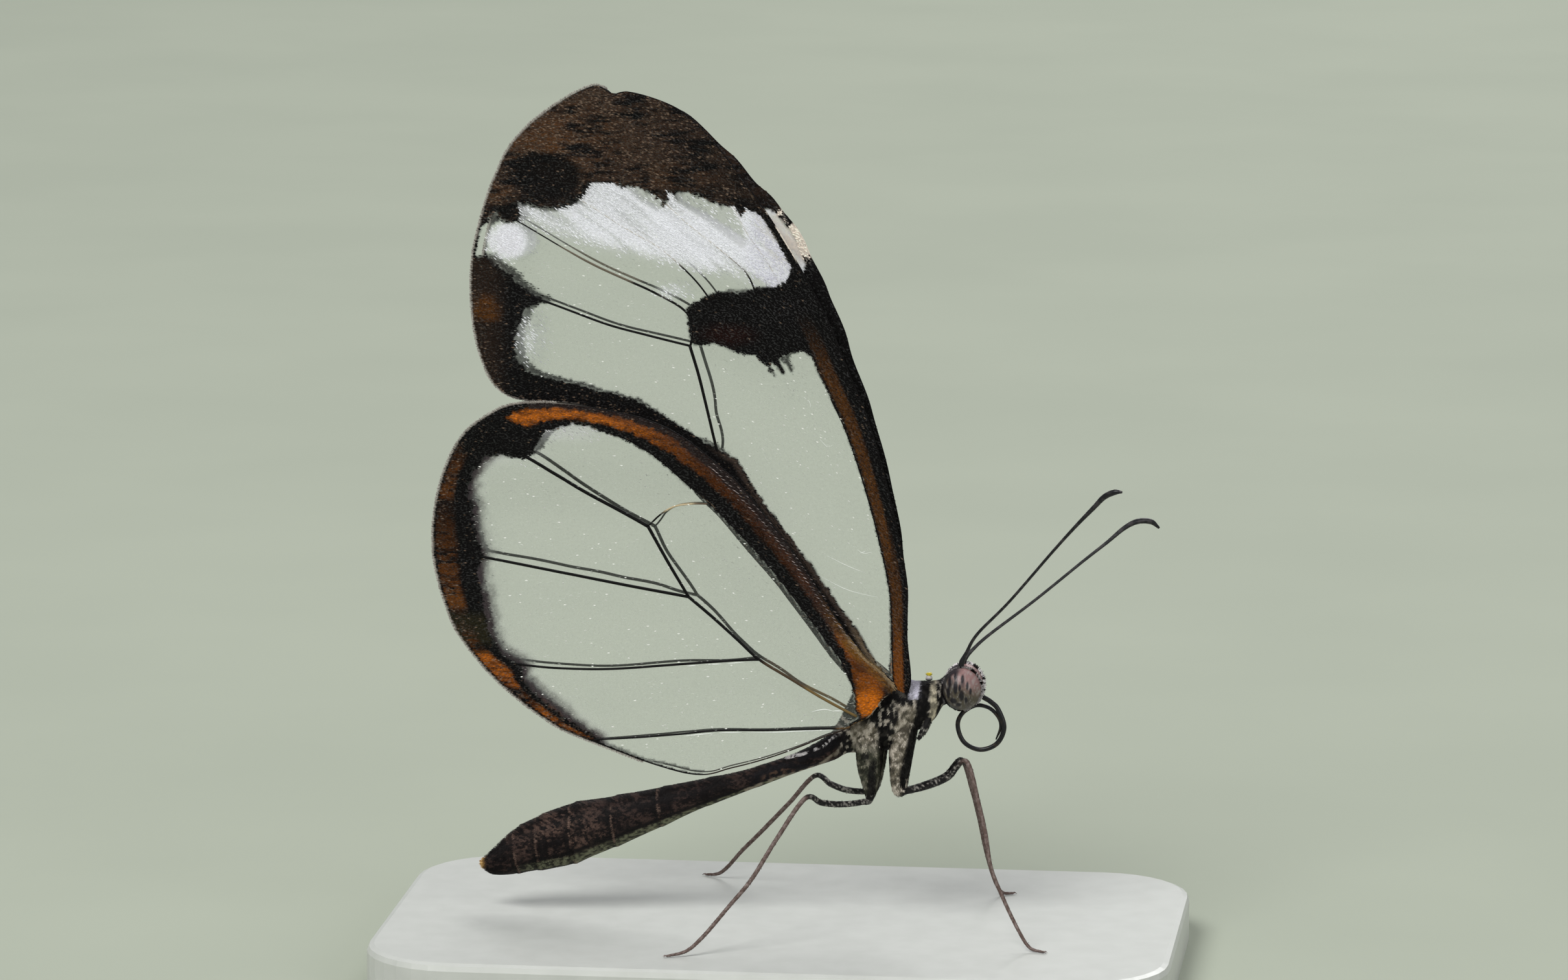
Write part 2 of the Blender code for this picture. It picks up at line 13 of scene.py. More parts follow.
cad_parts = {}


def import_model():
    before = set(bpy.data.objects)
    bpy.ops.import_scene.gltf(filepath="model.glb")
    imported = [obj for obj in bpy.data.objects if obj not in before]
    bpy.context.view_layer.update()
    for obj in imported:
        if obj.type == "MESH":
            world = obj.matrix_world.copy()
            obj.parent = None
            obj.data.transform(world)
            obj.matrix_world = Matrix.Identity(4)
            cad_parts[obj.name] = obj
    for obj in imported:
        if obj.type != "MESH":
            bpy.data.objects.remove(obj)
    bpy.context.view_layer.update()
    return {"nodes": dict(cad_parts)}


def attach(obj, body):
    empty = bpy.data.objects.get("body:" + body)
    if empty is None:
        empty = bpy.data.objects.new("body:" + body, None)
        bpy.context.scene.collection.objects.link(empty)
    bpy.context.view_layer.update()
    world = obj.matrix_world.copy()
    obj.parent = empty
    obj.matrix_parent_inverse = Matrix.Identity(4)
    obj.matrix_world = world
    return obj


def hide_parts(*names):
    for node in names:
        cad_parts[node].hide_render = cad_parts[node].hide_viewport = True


MM = 0.001
RIGHT, LEFT = -1, 1
WORDS = {RIGHT: "right", LEFT: "left"}
UV_MAP = "OFBake"
UV_PATCH = 0.003
UV_EDGE, UV_SPAN = 0.02, 0.96
BATCH = 4000  # points worked on at a time
NOISE_DETAIL = 3.0
VANE_THICKNESS, ROOT_DEPTH = 0.004, 0.012
THINNEST, THINNEST_TRUNK = 0.004, 0.02

# Colours are linear.
BLACK = (0.0045, 0.004, 0.004)
BROWN = (0.030, 0.017, 0.011)
# A pale brown painted on some dark scales as sheen.
SHEEN_BROWN = (0.15, 0.105, 0.075)
RUST = (0.10, 0.037, 0.008)
ORANGE = (0.50, 0.135, 0.012)
BRIGHT_ORANGE = (0.85, 0.22, 0.010)
WHITE = (0.92, 0.92, 0.96)
LAVENDER = (0.60, 0.58, 0.70)
CREAM = (0.66, 0.58, 0.50)
CLEAR = (0.40, 0.44, 0.36)
MILK = (0.72, 0.72, 0.72)
BODY_BLACK = (0.010, 0.009, 0.009)

# Sizes, outlines and markings of the wings
WING_HINGE = (4.6, 12.2)
WING_INSET = 0.12  # from the middle of the solid wing in to where the pleats start
GRID = 0.13  # between the membrane's points
SHEET = 0.03  # the membrane's thickness
CLEAR_ALPHA = 0.042
RIM_RADIUS, EDGE_RADIUS, THIN_VEIN = 0.032, 0.035, 0.03
FRONT_BAND_TOP = 25.3
SCALE_STEP = (0.082, 0.052)
SCALE_GAP = 0.006  # between the sheet and its scales
HAIR_LENGTH, WHITE_LENGTH, DARK_LENGTH, TIP_LENGTH = 0.12, 0.17, 0.15, 0.07
HAIR_WIDTH, BRIGHT_WIDTH, WHITE_WIDTH, DARK_WIDTH = 0.012, 0.05, 0.038, 0.055
INNER_SCALES = 90000  # before those away from the front edge are left out
VEIN_SIDES, WHITE_LINE_SIDES = 8, 6
STREAK_LEAN = math.radians(-37)  # of the white band's streaks

FOREWING = (
    (5.4, 12.2), (5.34, 14.55), (5.3, 16.59), (4.92, 18.85), (4.36, 21.29), (3.64, 23.72),
    (2.74, 25.95), (1.9, 28.01), (0.8, 30.11), (-0.5, 32.25), (-1.75, 34.0), (-2.6, 35.1),
    (-3.45, 36.05), (-4.35, 36.8), (-5.5, 37.3), (-6.6, 37.55), (-7.05, 37.45), (-7.35, 37.5),
    (-7.85, 37.78), (-8.75, 37.45), (-9.8, 36.8), (-10.8, 36.0), (-11.62, 35.05), (-12.15, 33.96),
    (-12.62, 32.74), (-12.93, 31.62), (-13.17, 30.51), (-13.26, 29.49), (-13.24, 28.46),
    (-13.11, 27.24), (-12.87, 26.24), (-12.51, 25.33), (-12.07, 24.78), (-11.57, 24.48),
    (-10.96, 24.33), (-8.52, 24.16), (-6.3, 23.37), (-4.64, 22.01), (-3.73, 20.5), (-2.71, 19.49),
    (-1.52, 18.09), (-0.27, 16.66), (1.14, 14.84), (2.4, 13.25), (3.7, 12.2),
)
FOREWING_COSTA_POINTS = 16  # the outline's first points, along the front edge
FOREWING_VEINS = (
    ((-3.96, 26.78), (-5.73, 27.19), (-7.39, 27.6), (-9.05, 28.18), (-10.71, 28.76), (-12.9, 29.5)),
    ((-3.96, 26.78), (-3.58, 25.51), (-3.2, 23.94), (-2.87, 22.55), (-2.5, 21.2)),
    ((-3.93, 26.8), (-3.85, 27.5), (-4.2, 28.3), (-5.45, 29.02), (-6.66, 29.55), (-7.93, 30.11),
     (-9.26, 30.81), (-11.35, 32.01), (-12.4, 32.6)),
    ((-2.9, 28.4), (-3.24, 28.98), (-3.93, 29.8), (-5.17, 30.88), (-6.82, 31.82), (-9.02, 33.16),
     (-11.6, 34.4)),
    ((-1.1, 29.0), (-1.59, 29.98), (-2.69, 30.93), (-4.06, 32.0), (-5.3, 33.14), (-6.8, 34.6),
     (-8.9, 36.6)),
    ((0.0, 29.2), (-0.65, 30.4), (-1.5, 31.6), (-2.19, 32.89), (-3.4, 34.6), (-4.7, 36.3)),
    ((3.0, 14.4), (0.95, 17.5), (-1.15, 20.35), (-2.6, 21.8), (-4.6, 23.2), (-7.2, 24.0), (-10.6, 24.6)),
)
FOREWING_VEIN_RADII = (0.05, 0.065, 0.05, 0.036, 0.036, 0.03, 0.06)
COSTA_AT = (12.0, 15.0, 17.5, 20.5, 23.5, 26.0, 29.0, 30.2, 32.3, 33.0)
COSTA_WIDTH = (0.62, 0.66, 0.8, 0.93, 1.05, 1.22, 1.3, 0.32, 0.24, 0.6)
APEX = (
    (-14.0, 31.6), (-12.55, 31.95), (-12.15, 32.6), (-11.22, 32.86), (-10.29, 32.73),
    (-9.5, 33.09), (-8.8, 33.25), (-8.31, 33.7), (-7.32, 33.82), (-6.73, 33.63), (-6.14, 33.62),
    (-5.65, 33.35), (-4.99, 32.8), (-4.9, 33.35), (-3.98, 33.38), (-3.49, 33.19), (-2.61, 32.87),
    (-2.12, 32.78), (-1.75, 32.45), (-1.55, 32.78), (-1.04, 32.65), (-0.55, 32.46), (1.0, 32.3),
    (1.0, 39.0), (-14.0, 39.0),
)
BAR = (
    (-3.89, 26.83), (-4.0, 27.4), (-4.15, 28.35), (-3.95, 28.5), (-3.38, 28.8), (-2.74, 29.08),
    (-2.1, 29.07), (-1.37, 29.18), (-1.01, 29.33), (-0.28, 29.34), (0.18, 29.57), (2.5, 29.6),
    (3.5, 25.2), (2.1, 25.4), (1.75, 26.0), (1.3, 26.4), (0.82, 26.7), (0.27, 26.6),
    (-0.19, 26.36), (0.03, 25.66), (-0.23, 26.03), (-0.52, 26.15), (-0.38, 25.6), (-0.73, 26.07),
    (-1.28, 26.43), (-1.92, 26.51), (-2.56, 26.86), (-3.2, 26.94),
)
MARGIN = (
    (-14.0, 30.3), (-12.7, 30.45), (-12.37, 30.1), (-11.72, 29.65), (-11.27, 29.17),
    (-10.72, 28.78), (-10.2, 28.58), (-10.85, 28.44), (-11.18, 27.98), (-11.42, 27.42),
    (-11.56, 26.77), (-11.47, 26.04), (-11.11, 25.58), (-10.37, 25.32), (-9.01, 25.04),
    (-7.6, 24.71), (-6.38, 24.43), (-5.2, 23.86), (-4.25, 23.26), (-3.0, 22.46), (-2.0, 21.93),
    (-1.4, 20.95), (-0.62, 19.8), (0.28, 18.65), (1.2, 17.45), (2.03, 16.28), (2.98, 15.03),
    (3.66, 13.96), (4.25, 13.15), (4.5, 12.3), (3.0, 11.0), (-5.0, 20.0), (-14.5, 23.0),
)
WHITE_BAND = (
    (-11.6, 32.6), (-10.3, 33.0), (-8.8, 33.6), (-7.3, 34.2), (-5.6, 34.2), (-3.98, 34.2),
    (-2.1, 33.4), (-0.7, 33.2), (0.5, 31.9), (1.1, 29.5), (-0.35, 29.3), (-1.2, 29.75),
    (-2.3, 30.15), (-3.5, 30.2), (-4.6, 30.5), (-5.6, 30.75), (-6.8, 30.95), (-7.9, 31.15),
    (-9.2, 31.45), (-10.3, 31.9), (-11.2, 32.2),
)
WINDOW_FRONT = (
    (-4.86, 33.5), (-3.0, 33.5), (-2.12, 32.7), (-1.72, 31.95), (-1.48, 31.17), (-1.72, 30.96),
    (-2.41, 31.44), (-3.59, 32.3), (-4.57, 32.9),
)
WINDOW_BACK = ((-6.9, 33.9), (-5.6, 33.9), (-5.06, 32.85), (-5.3, 32.4), (-6.2, 32.95))

HINDWING = (
    (5.0, 12.5), (4.4, 13.18), (3.68, 13.77), (2.77, 14.87), (1.66, 16.49), (0.45, 18.31),
    (-0.79, 19.89), (-1.79, 21.1), (-2.8, 21.99), (-3.82, 22.8), (-4.82, 23.39), (-6.03, 23.84),
    (-7.47, 24.11), (-8.88, 24.31), (-10.29, 24.36), (-11.51, 24.22), (-12.24, 23.89),
    (-12.85, 23.49), (-13.39, 23.03), (-13.9, 22.35), (-14.32, 21.53), (-14.64, 20.59),
    (-14.84, 19.66), (-14.96, 18.62), (-14.95, 17.58), (-14.76, 16.57), (-14.46, 15.54),
    (-14.07, 14.5), (-13.55, 13.7), (-12.94, 12.89), (-12.24, 12.17), (-11.41, 11.46),
    (-10.6, 10.86), (-9.68, 10.26), (-8.76, 9.83), (-7.83, 9.49), (-7.02, 9.2), (-5.99, 8.86),
    (-4.96, 8.6), (-3.95, 8.4), (-3.1, 8.4), (-2.27, 8.66), (-1.27, 8.94), (-0.16, 9.31),
    (0.96, 9.76), (1.79, 10.15), (2.7, 10.55), (3.23, 10.92), (3.78, 11.19), (4.11, 11.59),
    (4.5, 12.1),
)
HINDWING_LEADING = HINDWING[:15]
HINDWING_ANAL = HINDWING[40:47]
HINDWING_ROOT_RIM = HINDWING[48:]
HINDWING_VEINS = (
    ((-5.73, 19.03), (-8.23, 20.38), (-9.61, 21.24), (-10.83, 21.99), (-12.0, 22.5)),
    ((-5.73, 19.03), (-5.16, 19.6), (-4.55, 20.0), (-3.8, 20.14), (-3.12, 20.16)),
    ((-5.73, 19.03), (-4.9, 17.48), (-4.02, 15.99)),
    ((-4.02, 15.99), (-6.58, 16.41), (-9.64, 16.95), (-13.01, 17.54), (-14.5, 17.75)),
    ((-4.02, 15.99), (-2.95, 15.11), (-1.84, 14.15), (-0.96, 13.39), (0.38, 12.66), (1.76, 11.94),
     (3.3, 11.2)),
    ((-0.96, 13.39), (-4.36, 13.06), (-7.15, 12.79), (-9.1, 12.74), (-10.89, 12.83), (-12.5, 13.1)),
    ((3.0, 10.75), (2.6, 10.6), (-0.18, 10.37), (-2.68, 10.27), (-4.35, 10.06), (-6.31, 9.81),
     (-8.2, 9.66)),
)
HINDWING_VEIN_RADII = (0.075, 0.036, 0.07, 0.065, 0.065, 0.055, 0.045)
HINDWING_BAND = (
    (-12.42, 21.99), (-12.0, 22.1), (-11.51, 21.99), (-10.94, 21.91), (-10.6, 22.21),
    (-10.37, 22.61), (-10.2, 23.01), (-10.02, 23.19), (-9.68, 23.3), (-9.29, 23.42), (-8.83, 23.51),
    (-8.26, 23.41), (-7.7, 23.25), (-6.5, 22.84), (-5.45, 22.23), (-4.6, 21.54), (-3.9, 20.91),
    (-3.06, 20.22), (-2.21, 19.39), (-1.48, 18.65), (-0.72, 17.83), (0.0, 16.95), (0.86, 15.83),
    (1.57, 14.92), (2.08, 14.28), (2.52, 13.76), (2.95, 12.95), (3.2, 12.2), (3.25, 11.4), (3.6, 11.0),
    (5.4, 12.4), (4.6, 14.0), (0.0, 20.2), (-4.0, 25.0), (-13.0, 25.0), (-15.0, 23.0),
)
HINDWING_STRIPE = (
    (-11.69, 23.7), (-11.37, 23.91), (-10.86, 24.07), (-9.6, 24.12), (-8.8, 24.08), (-7.98, 23.98),
    (-6.5, 23.72), (-5.44, 23.35), (-4.6, 22.95), (-3.62, 22.2), (-2.77, 21.45), (-2.15, 20.85),
    (-1.2, 20.0), (-0.3, 18.95), (0.65, 17.7), (1.45, 16.5), (2.3, 15.25), (2.95, 14.4),
    (2.55, 14.2), (1.95, 15.2), (1.2, 16.3), (0.35, 17.4), (-0.5, 18.4), (-1.36, 19.4),
    (-2.15, 20.3), (-2.77, 20.85), (-3.62, 21.6), (-4.6, 22.3), (-5.45, 22.77), (-6.5, 23.29),
    (-7.42, 23.5), (-8.26, 23.62), (-8.83, 23.7), (-9.62, 23.69), (-10.19, 23.6), (-10.53, 23.42),
    (-10.87, 23.38), (-11.32, 23.51),
)
HINDWING_ROOT = (
    (2.3, 14.9), (2.75, 14.1), (3.15, 13.2), (3.3, 12.3), (3.35, 11.5), (3.54, 11.2), (3.9, 11.3),
    (4.2, 11.7), (4.5, 12.3), (4.5, 12.75), (4.0, 13.5), (3.1, 14.2), (2.7, 14.7),
)
HINDWING_MARGIN = (
    (-12.0, 22.2), (-12.42, 21.99), (-12.82, 21.64), (-13.11, 21.18), (-13.34, 20.72),
    (-13.4, 20.26), (-13.2, 19.69), (-13.18, 19.12), (-13.07, 18.55), (-12.95, 18.04),
    (-12.7, 17.5), (-12.95, 17.29), (-13.0, 16.83), (-12.97, 16.26), (-12.75, 15.4),
    (-12.59, 14.71), (-12.4, 13.9), (-12.12, 13.45), (-11.5, 12.98), (-11.2, 12.7), (-11.25, 12.3),
    (-10.95, 11.85), (-10.37, 11.37), (-9.4, 10.55), (-8.6, 10.05), (-7.95, 9.65), (-8.0, 8.5),
    (-14.0, 11.0), (-16.0, 17.0), (-15.0, 23.0),
)
RUST_AT = (9.4, 9.9, 10.3, 10.9, 11.3, 11.8, 12.0, 13.2, 13.5, 14.6, 15.2, 15.4, 16.6, 17.5,
           18.6, 19.9, 20.2, 20.8, 21.4, 22.6)
RUST_SHARE = (0.5, 0.55, 0.85, 0.85, 0.2, 0.15, 0.95, 1.0, 0.45, 0.15, 0.1, 0.7, 0.5, 0.4,
              0.2, 0.02, 0.45, 0.5, 0.3, 0.05)

# A left wing is a mirror image that lies a little ahead of the right one, at each place by (x, z).
LEFT_SHIFTS = {
    "forewing": (
        ((5.3, 12.8), (-0.35, -0.3)), ((5.2, 14.0), (-0.2, -0.3)), ((5.0, 17.0), (-0.1, -0.1)),
        ((4.5, 19.5), (0.03, -0.05)), ((3.8, 22.5), (0.09, -0.05)), ((2.8, 25.5), (0.22, -0.05)),
        ((1.9, 28.2), (0.38, -0.05)), ((0.8, 30.1), (0.52, -0.03)), ((-0.1, 31.6), (0.68, 0.0)),
        ((-0.8, 32.6), (0.5, 0.0)), ((-1.9, 34.1), (0.24, -0.1)), ((-3.3, 36.0), (0.05, -0.2)),
        ((-6.0, 37.5), (0.0, -0.25)), ((-10.0, 36.5), (0.2, -0.15)), ((-13.0, 30.0), (0.3, -0.05)),
        ((-12.0, 25.0), (0.3, -0.05)), ((-4.0, 26.8), (0.32, -0.03)), ((-3.4, 24.9), (0.36, -0.03)),
        ((-4.3, 23.0), (-0.2, -0.28)), ((-2.85, 23.1), (0.33, -0.05)), ((-2.2, 21.7), (-0.12, -0.2)),
        ((-0.2, 19.2), (-0.15, -0.15)), ((1.5, 16.6), (-0.15, -0.2)), ((3.0, 14.2), (-0.15, -0.3)),
    ),
    "hindwing": (
        ((-5.73, 19.03), (0.12, -0.25)), ((-4.6, 20.0), (-0.25, -0.42)), ((-3.4, 20.1), (-0.25, -0.42)),
        ((-9.5, 21.2), (0.0, -0.18)), ((-10.0, 24.3), (0.1, -0.42)), ((-3.0, 22.5), (-0.1, -0.4)),
        ((0.5, 18.0), (-0.15, -0.35)), ((-13.0, 17.5), (0.0, 0.07)), ((-10.5, 17.1), (0.0, 0.11)),
        ((-8.0, 16.7), (0.0, 0.12)), ((-6.0, 16.3), (0.05, 0.1)), ((-4.02, 15.99), (0.24, -0.13)),
        ((-0.96, 13.39), (-0.12, -0.2)), ((-5.0, 13.1), (0.0, -0.06)), ((-10.9, 12.8), (0.0, -0.03)),
        ((3.3, 11.2), (-0.33, -0.5)), ((3.4, 13.4), (-0.33, -0.5)), ((1.6, 12.0), (-0.28, -0.42)),
        ((0.0, 10.4), (-0.1, -0.33)), ((-6.3, 9.8), (0.0, -0.15)), ((-6.0, 8.8), (-0.15, -0.3)),
        ((-3.0, 8.4), (-0.2, -0.34)), ((-0.2, 9.3), (-0.25, -0.36)), ((-14.9, 18.6), (0.0, 0.05)),
    ),
}

# Each wing's fine white lines: their radius, and then the lines. The hindwing's lines are painted glints.
WHITE_LINES_AND_GLINTS = {
    "forewing": (0.01, (
        ((1.9, 17.9), (2.75, 17.5), (3.55, 17.2)), ((1.5, 17.04), (2.75, 16.47), (4.1, 16.18)),
        ((3.2, 18.2), (3.45, 18.05), (3.8, 18.1)), ((3.3, 18.05), (3.6, 18.15)),
        ((0.9, 24.7), (1.15, 24.5), (1.2, 24.2)), ((1.6, 22.9), (1.9, 22.6), (2.1, 22.65)),
    )),
    "hindwing": (0.02, (
        ((2.4, 10.5), (1.2, 10.4), (-0.18, 10.28), (-1.5, 10.24)), ((-1.7, 10.22), (-2.68, 10.18)),
        ((-2.9, 10.16), (-4.2, 9.99)), ((-4.1, 12.98), (-3.6, 13.03)), ((-3.3, 13.06), (-2.6, 13.12)),
        ((-2.4, 13.14), (-1.6, 13.22)), ((1.3, 11.25), (1.9, 11.42), (2.3, 11.36)),
        ((2.25, 11.38), (2.75, 11.42)),
    )),
}

# Sizes and markings of the body, limbs and feelers

# The trunk's rings are (x, z, half height, half width).
TRUNK = (
    (-13.15, 4.0, 0.05, 0.05), (-13.05, 3.98, 0.22, 0.18), (-12.6, 4.05, 0.58, 0.48),
    (-11.85, 4.42, 0.95, 0.82), (-11.1, 4.75, 1.13, 0.98), (-10.0, 5.11, 1.3, 1.09),
    (-9.15, 5.37, 1.37, 1.15), (-8.3, 5.65, 1.28, 1.08), (-7.4, 5.93, 1.17, 1.0),
    (-5.5, 6.58, 0.93, 0.82), (-3.66, 7.25, 0.69, 0.7), (-1.8, 7.86, 0.52, 0.58),
    (0.1, 8.58, 0.46, 0.56), (1.3, 9.1, 0.52, 0.62), (2.2, 9.6, 0.68, 0.74),
    (2.75, 10.25, 1.0, 0.95), (3.2, 10.7, 1.4, 1.18), (3.95, 11.0, 1.72, 1.38),
    (4.9, 11.17, 1.56, 1.33), (5.6, 11.35, 1.15, 1.0), (6.1, 11.5, 1.0, 0.85),
    (6.5, 11.68, 0.84, 0.7), (6.8, 11.98, 0.62, 0.46), (7.1, 12.2, 0.66, 0.42),
    (7.45, 12.3, 0.78, 0.46), (7.8, 12.32, 0.8, 0.5), (8.08, 12.27, 0.68, 0.48),
    (8.28, 12.2, 0.44, 0.36), (8.36, 12.15, 0.2, 0.2),
)
TRUNK_NODES = ("abdomen_tip", "abdomen_rear", "abdomen_middle", "abdomen_base", "thorax",
               "prothorax", "head")
SEGMENT_EDGES = (-13.2, -11.5, -10.55, -9.07, -7.28, -5.3, -3.3, -1.2, 1.2)
COAT_DEPTH = 0.05

EYE_CENTRE, EYE_SIZE, EYE_INNER, EYE_BULGE = (7.66, 12.28), (0.83, 0.92), 0.42, 0.86

PALE_FLANKS = (
    ((5.09, 11.6), (5.85, 11.74), (5.8, 10.75), (5.5, 10.1), (5.3, 9.4), (5.2, 8.6), (5.2, 7.5),
     (4.65, 7.5), (4.62, 8.8), (4.69, 9.45), (4.81, 10.22), (4.99, 10.8)),
    ((3.0, 10.9), (3.8, 11.05), (4.2, 10.75), (4.17, 10.2), (4.3, 9.5), (4.45, 9.2), (4.4, 8.4),
     (4.3, 7.2), (3.2, 7.2), (3.2, 8.8), (3.1, 9.7)),
)
FRONT_STRIPE = ((6.19, 12.9), (6.1, 11.9), (5.98, 11.3), (5.86, 10.88), (5.66, 10.4), (5.5, 9.76),
                (5.38, 9.28), (5.28, 8.79), (5.22, 8.2))
NECK_STRIPE = ((6.48, 12.9), (6.5, 11.5), (6.3, 10.6))
SHOULDER = ((4.6, 12.6), (5.5, 12.6), (5.48, 12.0), (4.9, 12.05))
COLLAR = ((5.47, 13.2), (6.02, 13.2), (6.02, 11.9), (5.47, 11.9))
ABDOMEN_LENS = (
    (0.31, 9.5), (1.28, 9.87), (2.42, 10.2), (2.55, 9.95), (2.19, 9.54), (1.62, 9.17), (0.71, 9.0),
)
# The line of white dashes painted as a highlight along the top of the abdomen.
ABDOMEN_HIGHLIGHT_LINE = ((-0.6, 8.95), (0.2, 9.02), (0.94, 9.25), (1.79, 9.65), (2.5, 10.3))
ABDOMEN_SEAM = ((2.82, 10.1), (2.42, 9.5), (1.74, 8.9), (0.94, 8.5), (-0.2, 8.2), (-1.6, 7.6))
# The eye's spots are (x, z, half width, half height), as shares of its size.
EYE_SPOTS = (
    (-0.24, 0.22, 0.09, 0.25), (-0.56, 0.42, 0.07, 0.2), (0.08, -0.14, 0.1, 0.2),
    (-0.62, -0.06, 0.08, 0.22), (-0.36, -0.42, 0.15, 0.11), (0.1, 0.6, 0.06, 0.14),
    (-0.28, 0.7, 0.06, 0.12), (0.36, 0.3, 0.05, 0.15), (-0.02, 0.22, 0.05, 0.12),
    (0.3, -0.35, 0.06, 0.12), (-0.1, -0.6, 0.1, 0.08), (0.52, 0.05, 0.05, 0.12),
)
EYE_SPOT_GROWTH = 1.32
# The knob on the neck is (x, z, half height, half width) in rings.
KNOB = ((6.1, 12.66, 0.06, 0.06), (6.18, 12.69, 0.13, 0.12), (6.28, 12.7, 0.14, 0.12),
        (6.38, 12.66, 0.06, 0.06))
KNOB_Y = -0.3
LEG_PARTS = ("coxa", "femur", "tibia", "tarsus")
ANTENNA_JOINT = 0.28
TRUNK_SIDES, EYE_SIDES, LIMB_SIDES, FINE_LIMB_SIDES = 72, 96, 16, 14
EYE_START, EYE_RINGS = -0.25, 46  # the start as a share of the way from rim to middle
TAIL_HAIRS, KNOB_SCALES, EYE_RING_HAIRS = 400, 90, 1600
LEG_HAIRS, FORELEG_HAIRS, PALP_HAIRS = 9000, 900, 1100

LEGS = {
    "midleg_right": ((5.2, 0.4, 10.9), (5.05, 0.92, 9.3), (5.02, 0.95, 7.95), (5.35, 1.1, 7.9),
                     (6.35, 1.7, 8.3), (7.27, 2.25, 8.83), (8.08, 2.7, 9.64), (8.67, 3.2, 7.9),
                     (9.0, 3.6, 6.7), (9.28, 4.0, 5.35), (9.86, 4.3, 4.05), (10.5, 4.6, 2.85),
                     (11.0, 4.9, 2.2), (11.6, 5.1, 2.07)),
    "midleg_left": ((5.2, 0.4, 10.9), (5.03, 0.92, 9.2), (4.95, 0.95, 7.66), (5.13, 1.15, 7.47),
                    (5.95, 1.75, 7.6), (6.74, 2.2, 7.9), (7.38, 2.6, 8.5), (7.78, 3.3, 6.95),
                    (8.03, 3.8, 5.66), (8.25, 4.2, 4.3), (8.5, 4.5, 3.2), (8.75, 4.7, 2.45),
                    (8.98, 4.9, 2.13), (9.4, 5.1, 2.07)),
    "hindleg_right": ((3.75, 0.4, 10.8), (3.78, 0.94, 9.1), (3.8, 0.95, 7.55), (3.5, 1.25, 7.42),
                      (2.72, 2.0, 7.47), (1.95, 2.8, 7.7), (1.32, 3.5, 8.02), (0.22, 4.7, 6.45),
                      (-0.67, 5.7, 5.0), (-1.52, 6.4, 4.0), (-2.5, 7.0, 2.85), (-3.2, 7.4, 2.25),
                      (-4.0, 7.7, 2.07)),
    "hindleg_left": ((3.75, 0.4, 10.8), (3.78, 0.94, 9.1), (3.8, 0.95, 7.55), (3.45, 1.3, 7.3),
                     (2.5, 2.1, 7.15), (1.7, 2.9, 7.2), (0.92, 3.5, 7.42), (-0.3, 4.3, 6.0),
                     (-1.61, 5.2, 4.5), (-2.6, 5.9, 3.4), (-3.2, 6.3, 2.65), (-3.7, 6.6, 2.2),
                     (-4.3, 6.9, 2.07)),
}
COXA_RADII = {"midleg": (0.6, 0.42, 0.25), "hindleg": (0.62, 0.53, 0.17)}
FEMUR_RADII = (0.125, 0.13, 0.125, 0.1)
TIBIA_RADII = (0.09, 0.088, 0.08)
TARSUS_RADII = (0.078, 0.07, 0.065, 0.045)
FORELEG = ((6.15, 0.42, 11.2), (6.16, 0.5, 10.8), (6.03, 0.52, 10.4), (5.82, 0.5, 10.08))
FORELEG_RADII = (0.2, 0.16, 0.12, 0.05)
PALP = ((8.1, 0.3, 11.6), (8.36, 0.42, 11.85), (8.38, 0.44, 12.35), (8.22, 0.42, 12.75),
        (8.05, 0.4, 13.02))
PALP_RADII = (0.08, 0.1, 0.095, 0.06, 0.02)
ANTENNAE = {
    "antenna_right": ((7.62, 0.42, 13.1), (7.65, 0.45, 13.42), (7.85, 0.5, 13.85),
                      (8.35, 0.8, 14.75), (9.75, 1.4, 16.3), (11.6, 2.2, 18.6), (12.6, 2.65, 19.8),
                      (13.4, 3.0, 20.7), (13.85, 3.2, 21.2), (14.3, 3.4, 21.45),
                      (14.62, 3.5, 21.48)),
    "antenna_left": ((7.62, 0.42, 13.1), (7.7, 0.45, 13.42), (8.0, 0.65, 13.75), (8.65, 1.2, 14.3),
                     (10.5, 2.5, 15.6), (12.4, 3.8, 17.05), (13.4, 4.4, 17.8), (14.1, 4.9, 18.35),
                     (14.65, 5.2, 18.6), (15.2, 5.5, 18.55), (15.55, 5.68, 18.25)),
}
ANTENNA_RADII = (0.12, 0.12, 0.08, 0.068, 0.062, 0.064, 0.075, 0.1, 0.12, 0.12, 0.05)
COIL_CENTRE = (8.42, 10.56)
# The coil is (degrees, distance from its centre, y).
COIL = (
    (86, 1.3, 0.0), (68, 1.17, 0.0), (45, 1.07, -0.02), (0, 1.01, -0.05), (-45, 1.0, -0.05),
    (-90, 0.995, -0.03), (-135, 0.985, 0.0), (-180, 0.975, 0.03), (-215, 0.955, 0.05),
    (-256, 0.925, 0.07), (-293, 0.885, 0.07), (-330, 0.865, 0.05), (-360, 0.86, 0.05),
    (-400, 0.86, 0.05),
)
COIL_RADII = (0.11, 0.108, 0.106, 0.106, 0.104, 0.102, 0.1, 0.098, 0.096, 0.092, 0.086, 0.08,
              0.07, 0.03)

NOISE_SIDE = 64
NOISE_TABLE = np.random.default_rng(11).random((NOISE_SIDE, NOISE_SIDE))


def smooth(value, start, end):
    """0 at the start and 1 at the end, easing between them."""
    share = np.clip((np.asarray(value, float) - start) / (end - start), 0.0, 1.0)
    return share * share * (3 - 2 * share)


